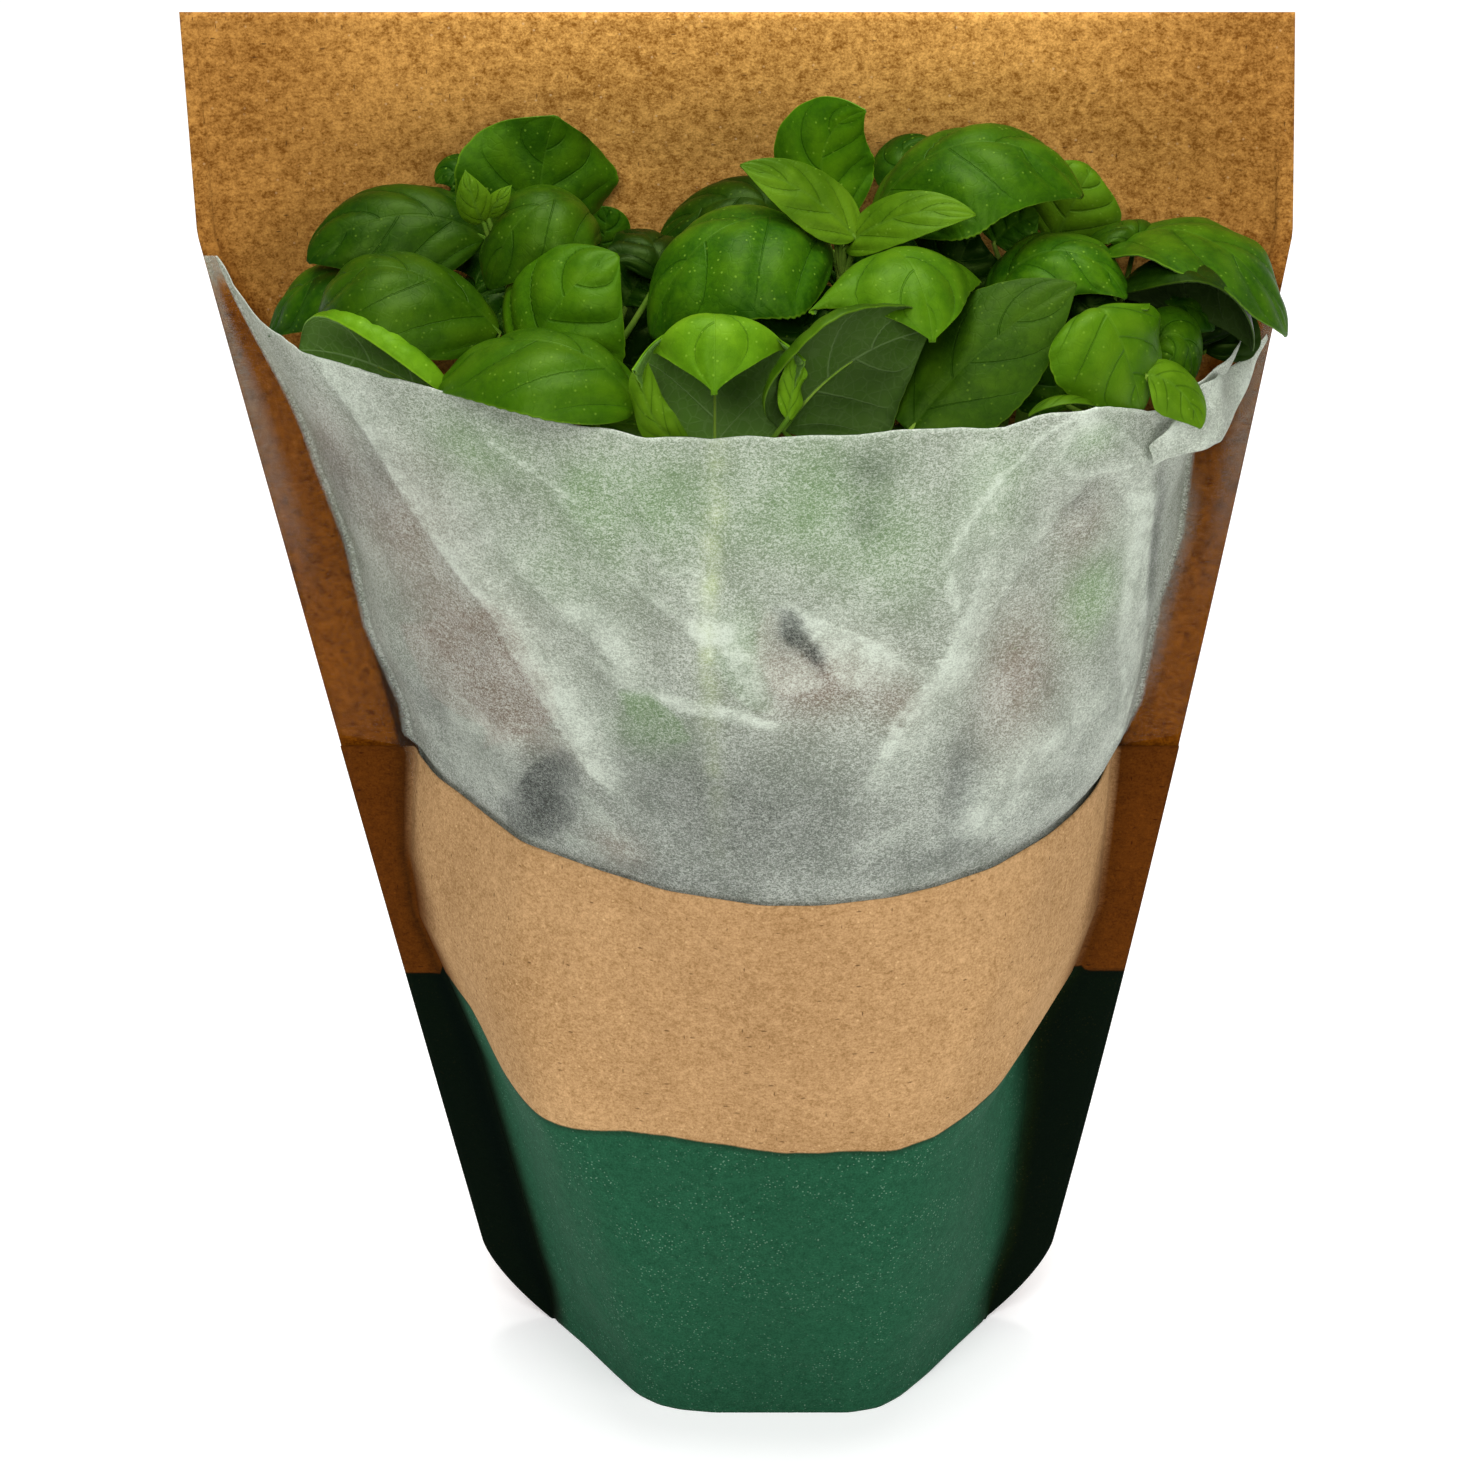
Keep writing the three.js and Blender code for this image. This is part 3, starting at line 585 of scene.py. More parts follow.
def kraftBackPiece():
    # outside face: y = seam + reach * bulge, where the reach fades out into the flat header
    rises = np.concatenate([np.linspace(0, 30, 16), np.linspace(30, sleeve["headerTop"], 150)[1:]])

    def place(z, u):
        seam = seamY(z) + sleeve["cadWall"]
        reach = np.maximum(0, backY(z) - seam) * (1 - smoothStep(z, 330, sleeve["headerTop"]))
        y = seam + reach * roundOff(u, sleeve["backPower"])
        x = middleX(z) + innerHalf(z) * u
        free = (1 - u**4) * smoothStep(z, 10, 60) * (1 - smoothStep(z, 340, 372))
        return np.stack([x, y + 0.4 * waves(x, z, 21, 70) * free, z], -1)

    grid, u = panelGrid(lambda u: rises[:, None] + 0 * u, place, outerHalf)
    x, z = grid[..., 0], grid[..., 2]
    # painted shade: darker on the flange strips below the header, towards the header's sides, and low down
    # in the pocket
    strip = smoothStep(np.abs(u), 0.96, 1.01) * (1 - smoothStep(z, 285, 335))
    strip = strip * (1 - 0.4 * smoothStep(z, 225, 285))
    sides = smoothStep(middleX(z) - x, 30, 140) * 0.52 + smoothStep(x - middleX(z), 55, 140) * 0.5
    deep = 1 - smoothStep(z, 230, 325)
    dim = np.clip(strip * 0.9 + sides + deep * 0.5, 0, 1.3)
    grid, dim = grid[:, ::-1], dim[:, ::-1]
    inner = shiftGrid(grid, sleeve["cadWall"])
    outer = shiftGrid(grid, sleeve["cadWall"] - sleeve["kraftWall"])
    pile = Pile()
    pile.sheet(outer, inner, gridUv(outer), {"dim": dim})
    return pile.piece("kraftBack", kraftLook("kraftInside", "inside", False))


# Creases of the film: how far each stands out (mm), how wide, how dense and white (the white partly a
# painted highlight on the facet beside it), and its line in x and z.
creases = [
    (1.8, 6, 0.75, [
        (-44, 211), (-48, 224), (-55, 235), (-66, 249), (-79, 262), (-91, 280), (-99, 294), (-107, 305),
    ]),
    (0.6, 5, 0.35, [(-32, 239), (-42, 251), (-54, 258), (-66, 268), (-77, 280)]),
    (0.6, 0.8, 0.9, [(-47, 288), (-55, 292), (-61, 296), (-67, 300), (-69, 306)]),
    (0.8, 1.2, 0.55, [
        (-1, 237), (-8, 241), (-13, 248), (-18, 255), (-22, 262), (-30, 265), (-34, 269), (-41, 273),
        (-46, 280), (-51, 287),
    ]),
    (0.5, 0.8, 0.7, [(-17, 271), (-20, 274), (-25, 272), (-28, 276), (-32, 280)]),
    (0.6, 4, 0.5, [(-8, 245), (-12, 253), (-15, 260), (-20, 266)]),
    (0.8, 1.6, 0.6, [(-42, 245), (-32, 239), (-18, 239), (-8, 237), (2, 234)]),
    (2, 6, 0.8, [
        (26, 224), (29, 233), (34, 240), (40, 244), (42, 250), (44, 258), (42, 266), (41, 274), (46, 284),
        (54, 296), (62, 304), (72, 309),
    ]),
    (0.8, 3, 0.4, [(74, 288), (66, 279), (59, 270), (53, 258), (49, 248), (43, 242)]),
    (1.5, 6, 0.7, [(86, 217), (77, 217), (66, 215), (57, 208), (52, 204), (50, 193), (47, 187)]),
    (1.2, 5, 0.6, [(90, 284), (91, 266), (92, 247), (94, 227), (92, 208), (89, 197)]),
    (1, 1.3, 0.6, [(69, 305), (68, 296), (72, 290), (80, 289), (90, 288)]),
    (0.8, 1.3, 0.5, [(75, 307), (82, 300), (89, 290)]),
    (0.8, 3, 0.4, [(4, 266), (9, 261), (16, 257), (23, 255), (30, 250), (38, 246)]),
    (-0.8, 2.5, 0, [(-2, 264), (2, 256), (0, 246)]),
    (0.6, 4, 0.3, [(-76, 211), (-68, 217), (-57, 220), (-52, 220)]),
    (0.8, 5, 0.4, [(-45, 203), (-38, 196), (-33, 192), (-30, 187)]),
    (0.6, 3, 0.35, [(15, 188), (18, 195), (24, 198), (31, 202)]),
    (0.8, 3, 0.45, [(-69, 184), (-77, 186), (-85, 192), (-91, 194)]),
    (-1.6, 7, 0, [(-74, 239), (-67, 228), (-60, 216), (-57, 201)]),
    (-1.4, 7, 0, [(59, 259), (55, 238), (49, 223), (46, 207)]),
    (-1, 5, 0, [(-51, 268), (-42, 262), (-30, 254)]),
]
filmWaves = [(0.8, 3, 60), (0.5, 5, 23)]  # height, seed and length
# Painted into the film's colour, what shows blurred through it: leaf green, kraft brown, and dark, which is
# painted shade of the pocket's inside with the dark pot. The kind, its middle in x and z, its spread in x
# and z, its strength.
shadows = [
    ("leafy", -32, 291, 21, 17, 1), ("leafy", -72, 296, 14, 11, 0.8), ("leafy", 11, 293, 21, 19, 1),
    ("leafy", -44, 289, 7, 8, 0.6), ("leafy", -30, 228, 9, 7, 1), ("leafy", 78, 252, 7, 12, 1.2),
    ("leafy", 53, 294, 9, 14, 0.7), ("leafy", 30, 276, 14, 14, 0.6), ("leafy", -51, 268, 14, 11, 0.5),
    ("leafy", 75, 299, 7, 6, 0.9), ("leafy", -8, 254, 6, 11, 0.8), ("brown", -91, 266, 14, 22, 0.9),
    ("brown", -74, 239, 14, 14, 1.1), ("brown", -62, 218, 12, 8, 0.9), ("brown", 11, 245, 14, 10, 1.2),
    ("brown", 60, 237, 11, 19, 1), ("brown", 74, 276, 7, 11, 0.6), ("brown", -110, 274, 7, 17, 0.7),
    ("brown", -38, 190, 7, 6, 0.8), ("brown", 30, 238, 7, 7, 0.6), ("dark", -58, 201, 8, 11, 0.8),
    ("dark", 4, 258, 4, 6, 0.9), ("dark", 10, 252, 2, 3, 0.8), ("dark", 46, 207, 5, 17, 0.9),
    ("dark", 4, 207, 21, 19, 0.5), ("dark", -18, 211, 14, 25, 0.35), ("dark", -108, 265, 6, 17, 0.4),
    ("dark", 22, 300, 7, 6, 0.5), ("dark", 21, 287, 5, 6, 0.4), ("dark", -90, 207, 9, 8, 0.35),
    ("dark", 94, 257, 2, 25, 0.7), ("dark", 72, 283, 5, 6, 0.4), ("dark", -32, 219, 12, 17, 0.4),
    ("dark", -96, 279, 6, 11, 0.35), ("dark", 39, 191, 14, 4, 0.4), ("dark", -33, 186, 28, 4, 0.35),
]
# Sharper shapes painted into the film's colour, that show through or lie in it: each kind's strength, and
# the outline in x and z.
patches = [
    ({"pale": 0.42, "brown": 0.45}, [
        (-1, 264), (2, 262), (2, 257), (6, 251), (10, 248), (12, 243), (7, 242), (2, 241), (-1, 246),
        (-4, 252), (-4, 259),
    ]),
    ({"dark": 0.45}, [
        (0, 265), (5, 264), (7, 260), (10, 255), (13, 251), (13, 247), (12, 246), (9, 250), (5, 254),
        (2, 257), (2, 261),
    ]),
    ({"pale": 0.45}, [
        (6, 265), (10, 263), (15, 259), (21, 256), (27, 254), (25, 250), (23, 246), (20, 241), (16, 245),
        (13, 248), (10, 255), (7, 260),
    ]),
    ({"dark": 0.4, "leafy": 0.8}, [
        (-14, 252), (-8, 251), (-4, 248), (0, 241), (-1, 238), (-5, 238), (-9, 242), (-12, 246),
    ]),
    ({"pale": 0.55}, [
        (-20, 261), (-14, 262), (-10, 259), (-6, 251), (-8, 250), (-12, 254), (-17, 254), (-20, 258),
    ]),
    ({"pale": 0.4}, [
        (-50, 259), (-42, 259), (-35, 254), (-34, 247), (-36, 243), (-40, 247), (-45, 250), (-52, 254),
    ]),
    ({"brown": 0.6}, [
        (-71, 255), (-65, 250), (-58, 241), (-53, 236), (-51, 227), (-56, 222), (-66, 213), (-73, 205),
    ]),
    ({"leafy": 0.8}, [(-37, 238), (-30, 239), (-23, 234), (-20, 228), (-25, 226), (-30, 229), (-35, 233)]),
    ({"pale": 0.5}, [(-30, 240), (-18, 237), (-6, 238), (2, 232), (-10, 234), (-20, 235), (-27, 237)]),
    ({"dark": 0.5}, [(-51, 218), (-47, 211), (-49, 195), (-56, 186), (-66, 183), (-69, 191), (-60, 206)]),
    ({"brown": 0.5}, [(-94, 229), (-72, 248), (-59, 239), (-57, 220), (-73, 212), (-87, 210)]),
    ({"pale": 0.35}, [(-53, 190), (-35, 191), (-35, 182), (-51, 182)]),
    ({"pale": 0.55}, [
        (85, 280), (91, 277), (93, 240), (94, 212), (90, 197), (86, 198), (87, 216), (86, 247),
    ]),
    ({"pale": 0.3}, [(54, 198), (72, 210), (85, 213), (89, 177), (70, 188), (57, 187)]),
    ({"pale": 0.22}, [(-81, 219), (-62, 215), (-63, 195), (-86, 179)]),
    ({"pale": 0.3}, [(-18, 259), (-7, 262), (-1, 240), (-8, 239)]),
    ({"pale": 0.3}, [(6, 264), (20, 266), (30, 254), (28, 241), (16, 242)]),
    ({"pale": 0.3}, [(42, 306), (55, 304), (54, 271), (51, 259), (43, 263)]),
]
# The film's top edge along u. The cuff is its right corner folded outwards, from its fold to its free edge.
topEdge = [
    (-1, 314), (-0.985, 309), (-0.94, 307), (-0.84, 308.6), (-0.73, 309.5), (-0.56, 309.3), (-0.34, 309.1),
    (0, 308.5), (0.27, 309), (0.46, 308.9), (0.55, 309.6), (0.62, 309.4), (0.66, 307.5), (0.71, 304.5),
    (0.76, 300.8), (0.8, 300.6), (0.85, 303), (0.92, 303), (1, 300),
]
cuffFold = [
    (124, 28, 294), (119, 20, 293), (113, 8, 295), (107, -11, 302), (102, -20, 304), (99, -23, 301),
    (95, -25, 296), (90, -28, 292),
]
cuffEnd = [
    (123, 28, 292), (120, 18, 289), (115, 2, 288), (109, -14, 286), (105, -19, 287), (100, -22, 287),
    (95, -24, 287), (91, -28, 287),
]
cuff = {"columns": 72, "rows": 16, "swell": 1.2, "ruffle": 0.5, "outwards": (0.35, -0.9, 0.2)}


def windowEdge(u):
    # the top edge's height at u, with two small waves on it
    return np.interp(u, *np.transpose(topEdge)) + 0.4 * np.sin(9 * u) + 0.3 * np.sin(23 * u + 1)


def addCuff(pile):
    # straight across from the fold to the free edge at every step along, swelling out a little halfway
    along = np.linspace(0, 1, cuff["columns"])

    def spread(line):
        knots = np.linspace(0, 1, len(line))
        return np.stack([np.interp(along, knots, values) for values in np.transpose(line)], -1)

    across = np.linspace(0, 1, cuff["rows"])[:, None, None]
    grid = spread(cuffEnd)[None] * (1 - across) + spread(cuffFold)[None] * across
    x, z = grid[..., 0], grid[..., 2]
    swell = np.sin(math.pi * across[..., 0]) * cuff["swell"] + cuff["ruffle"] * waves(x, z, 31, 9)
    grid = grid + np.array(cuff["outwards"]) * swell[..., None]
    dense = np.clip(0.55 + 0.35 * waves(x, z, 32, 12), 0, 1)
    pile.sheet(grid, shiftGrid(grid, sleeve["filmWall"]), gridUv(grid), {"dense": dense})


def windowLift(x, z):
    # soft waves, plus a sharp ridge exp(-d / width) along every crease; and how dense and white the film
    # looks there, partly a painted highlight, which fades as exp(-(d / w)^p), quickly on the crease's left
    # side and slowly on its right
    lift = wavy(x, z, filmWaves) - 0.9 * np.abs(waves(x, z, 12, 34))
    dense = np.zeros_like(x)
    for rise, width, white, line in creases:
        away = lineDistance(x, z, line)
        lift = lift + rise * np.exp(-away / width)
        crisp = sideOfLine(x, z, line) > 0
        fading = np.where(crisp, 0.35 + 0.07 * width, 1.3 * width)
        dense = np.maximum(dense, 1.15 * white * np.exp(-((away / fading) ** np.where(crisp, 2, 1.4))))
    # the film whiter and denser over the crumpled part at its upper right, partly a painted highlight
    crumple = smoothStep(x, 58, 95) * smoothStep(z, 245, 300)
    crumpled = np.abs(waves(x, z, 8, 15))
    lift = lift + crumple * 1.6 * crumpled + 0.35 * np.abs(waves(x, z, 9, 11))
    return lift, dense + crumple * 0.5 * crumpled**2


def windowPiece():
    # the front's own bulge, one wall inside the kraft, pushed in and out by the creases
    top = sleeve["bandTop"]
    foot = top - sleeve["windowTuck"]
    rows = np.linspace(0, 1, 220)[:, None]

    def tucked(z):
        return 1 - smoothStep(z, top + 0.3, top + 4)

    def place(z, u):
        seam = seamY(z) - sleeve["gap"] - sleeve["cadWall"] - 1.2 * tucked(z)
        half = frontHalf(z, u) - 2.1 * tucked(z)
        front = frontY(z) + sleeve["cadWall"] + sleeve["gap"]
        return np.stack([middleX(z) + half * u, seam - (seam - front) * frontBulge(z, u), z], -1)

    def reach(z):
        glued = -2.2 * tucked(z) + (flangeWidth(z) - 0.4) * (1 - tucked(z))
        return innerHalf(z) + glued

    grid, u = panelGrid(lambda u: foot + rows * (windowEdge(u) - foot), place, reach)
    x, z, out = grid[..., 0], grid[..., 2], np.abs(u)
    free = smoothStep(z, top + 2, top + 18) * (1 - np.minimum(1, out) ** 8)
    lift, dense = windowLift(x, z)
    grid = grid + surfaceNormals(grid) * (lift * free)[..., None]
    # painted into the film's colour: tints of the leaves and kraft behind it, painted shade where the dark
    # inside shows, and pale patches that add to its white
    seen = {kind: np.zeros_like(x) for kind in ("leafy", "brown", "dark", "pale")}
    for kind, atX, atZ, wide, high, strength in shadows:
        seen[kind] = seen[kind] + strength * np.exp(-(((x - atX) / wide) ** 2) - ((z - atZ) / high) ** 2)
    for strengths, outline in patches:
        inside = insideOutline(x, z, outline)
        for kind, strength in strengths.items():
            seen[kind] = seen[kind] + strength * inside
    pale = seen.pop("pale") * smoothStep(z, top, top + 6)
    margin = smoothStep(out, 1.5, 1.8) * smoothStep(z, 215, 290) * 0.17 + smoothStep(z, 305, 311) * 0.35
    atFold = hump(u, 1.12, 0.16) * smoothStep(z, 190, 215) * (1 - smoothStep(z, 245, 262))
    margin = margin + atFold * 0.2
    stem = hump(x, -14.5 - 1.2 * np.sin(z / 18), 2.2) * smoothStep(z, 186, 215)
    stem = stem * (0.4 + 0.5 * smoothStep(z, 225, 262)) * (1 - 0.5 * smoothStep(z, 282, 298))
    marks = {kind: np.clip(value, 0, 1.2) for kind, value in seen.items()}
    marks["dense"] = np.clip(dense * free + pale, 0, 1)
    marks["stalk"] = stem * (0.8 + 0.5 * waves(x, z, 41, 9))
    marks["edge"] = smoothStep(rows, 0.992, 0.998) + 0 * x
    marks["glued"] = smoothStep(out, 0.995, 1.03) * (1 - margin)
    # painted shade: the film darker towards the bottom, where the pocket's shaded inside and the dark pot
    # show through
    marks["low"] = 1 - smoothStep(z, 184, 250)
    pile = Pile()
    pile.sheet(grid, shiftGrid(grid, sleeve["filmWall"]), gridUv(grid), marks)
    addCuff(pile)
    return pile.piece("windowFilm", filmLook())


filmColours = {
    "thread": srgb(236, 240, 230), "thin": srgb(146, 155, 136), "low": srgb(124, 130, 122),
    "leafy": srgb(120, 158, 96), "brown": srgb(136, 114, 94), "stalk": srgb(198, 214, 156),
    "dark": srgb(48, 54, 52), "ridge": srgb(226, 234, 220),
}


def filmLook():
    # pale threads over a thin ground, painted with the tints and shade of what lies behind, and partly
    # clear between them
    look = Look("greaseproof")
    dense = look.mark("dense")
    fibre = look.noise(0.0008, 4, 0.72, look.stretch(0.7, 1, 1.4), 1.2)
    fine = look.noise(0.0004, 2, 0.7)
    wide = look.noise(0.014, 4, 0.6)
    mottle = (fibre * 1.7 + fine * 1.3 + wide * 0.5 - 1.25).step(0.18, 0.9)
    # painted shade: darker towards the bottom, as the shaded inside shows through
    colour = look.mix(look.mark("low") * 0.6, filmColours["thin"], filmColours["low"])
    for kind in ("leafy", "brown", "stalk"):
        colour = look.mix(look.mark(kind).most(1.0) * 0.85, colour, filmColours[kind])
    colour = look.mix(mottle * (0.7 - dense.most(1.0) * 0.25), colour, filmColours["thread"])
    # painted shade: dark where the pocket's shaded inside and the dark pot show through
    colour = look.mix(look.mark("dark").most(1.0) * (0.85 - mottle * 0.3), colour, filmColours["dark"])
    broken = look.noise(0.007, 3, 0.6).step(0.3, 0.62)
    # denser and whiter along creases and the top edge, partly a painted highlight on the creases' facets
    solid = dense * (0.5 + broken * 0.3 + (mottle - 0.5) * 0.35)
    solid = (solid + look.mark("edge") * 0.35).most(1.0)
    colour = look.mix(solid, colour, filmColours["ridge"])
    clear = (0.34 - mottle * 0.22 - solid * 0.3).least(0.03)
    clear = clear + look.mark("glued") * (0.985 - clear)
    crinkle = (look.noise(0.009, 3, 0.55, look.stretch(1.0, 1, 0.8), 0.6) - 0.5).size()
    height = fibre * 0.6 + fine * 0.4 - crinkle * 9.0
    skin = look.skin(colour, 0.6, normal=look.bump(height, 0.0003, 0.45), gloss=0.3)
    glow = look.node("ShaderNodeBsdfTranslucent", {}, {"Color": colour})
    through = look.node("ShaderNodeBsdfTransparent")
    return look.surface(look.blend(clear, look.blend(0.3, skin, glow), through))


def bottomPiece():
    # the oval of the front and back bulges at the foot, as a shallow cup with a folded edge
    turn = np.linspace(0, 2 * math.pi, 97)[:-1]
    wall, lip = sleeve["footWall"], sleeve["footLip"]
    outside = sleeve["cadWall"] + sleeve["gap"]
    inside = outside + wall

    def oval(z, shrink, level, scale):
        z = np.full(turn.shape, float(z))
        u = np.cos(turn)
        seam = seamY(z)
        rear = (backY(z) - shrink - seam) * roundOff(u, sleeve["backPower"])
        fore = (frontY(z) + shrink - seam) * frontBulge(z, u)
        x = middleX(z) + (frontHalf(z, u) - 2 * shrink) * u
        y = seam + np.where(turn < math.pi, rear, fore)
        return np.stack([x * scale, y * scale, np.full(turn.shape, float(level))], -1)

    # each ring: the height whose oval it has, how far inside that it lies, its own height and its size
    steps = [(0, outside, 0, scale) for scale in (0.5, 0.9, 1)]
    steps += [(height, outside, height, 1) for height in (lip / 2, lip)]
    steps += [(height, inside, height, 1) for height in (lip, lip / 2)]
    steps += [(0, inside, wall, scale) for scale in (1, 0.5)]
    rings = np.stack([oval(*step) for step in steps])
    pile = Pile()
    pile.rings(rings, rings[..., :2] / 300 + 0.5, {"printed": 1.0})
    return pile.piece("sleeveFoot", kraftLook("printedFoot", "front", True), smooth=False)


def potLook():
    # black plastic, streaked upwards, with a fine grain
    look = Look("blackPotPlastic")
    grain = look.noise(0.0006, 3, 0.6)
    streak = look.noise(0.006, 3, 0.6, look.stretch(1, 1, 0.15))
    colour = look.mix(streak.step(0.35, 0.7), srgb(30, 30, 32), srgb(46, 46, 48))
    rough = grain.step(0.2, 0.8, 0.38, 0.55)
    return look.surface(look.skin(colour, rough, normal=look.bump(grain, 0.0002, 0.3)))


def soilLook():
    # dark crumbs and lumps of peat with fibres, and a few light grains
    look = Look("pottingMix")
    crumb = look.cells(0.0032)
    lump = look.noise(0.008, 5, 0.65)
    fibre = look.noise(0.002, 4, 0.7, look.stretch(1, 0.4, 1))
    colour = look.mix(lump.step(0.3, 0.7), srgb(34, 24, 17), srgb(78, 56, 38))
    grains = look.spots(0.006, 0.1, 0.17) * fibre.step(0.45, 0.6)
    colour = look.mix(grains, colour, srgb(196, 190, 178))
    height = crumb * 0.8 + lump * 0.6 + fibre * 0.3
    return look.surface(look.skin(colour, 0.95, normal=look.bump(height, 0.0025, 0.9), gloss=0.2))


soil = {"top": 95.0, "holeDepth": 14.0}
stemShape = {"foot": 2.1, "top": 1.4, "crownAt": 0.985, "sides": 16, "rings": 46, "corners": 0.1}
stalkShape = {"foot": 1.05, "tip": 0.6, "end": 0.2, "sag": 0.12, "under": 0.55, "sides": 10, "rings": 12}
lowerLeaf = {"petiole": 7, "rise": 5, "arch": 2, "width": 0.62, "bend": 25}
bladeShape = {
    "wall": 0.45, "ribs": 3.6, "sweep": 0.42, "sweepPower": 1.25, "offset": 0.35,
    "puff": 0.03, "groove": 0.3, "grooveWidth": 0.9, "teeth": 0.018, "toothLength": 4.2,
}
bladeGrid = {"big": (60, 41), "small": (40, 27), "lower": (28, 17)}  # rows along the leaf, columns across
bigLeaf = 20  # millimetres wide
seedsPerStem = 50


def leaf(foot, crest, tip, looks, width, bend, **others):
    # a leaf is its midrib's three points, the way that its middle looks, its width, its left and right bend
    # in degrees, and what differs from the usual
    # shade is painted shade: above 0 it darkens the leaf as if it lay in shadow, below 0 it lightens it
    usual = {
        "young": 0.0, "puff": 1.0, "ripple": 0.0, "widest": 0.42, "curl": 1.0,
        "sharp": 0.9, "close": 0.0, "shade": 0.0, "tone": 0.5,
    }
    given = {"foot": foot, "crest": crest, "tip": tip, "looks": looks, "width": width, "bend": bend}
    return {**given, **usual, **others}


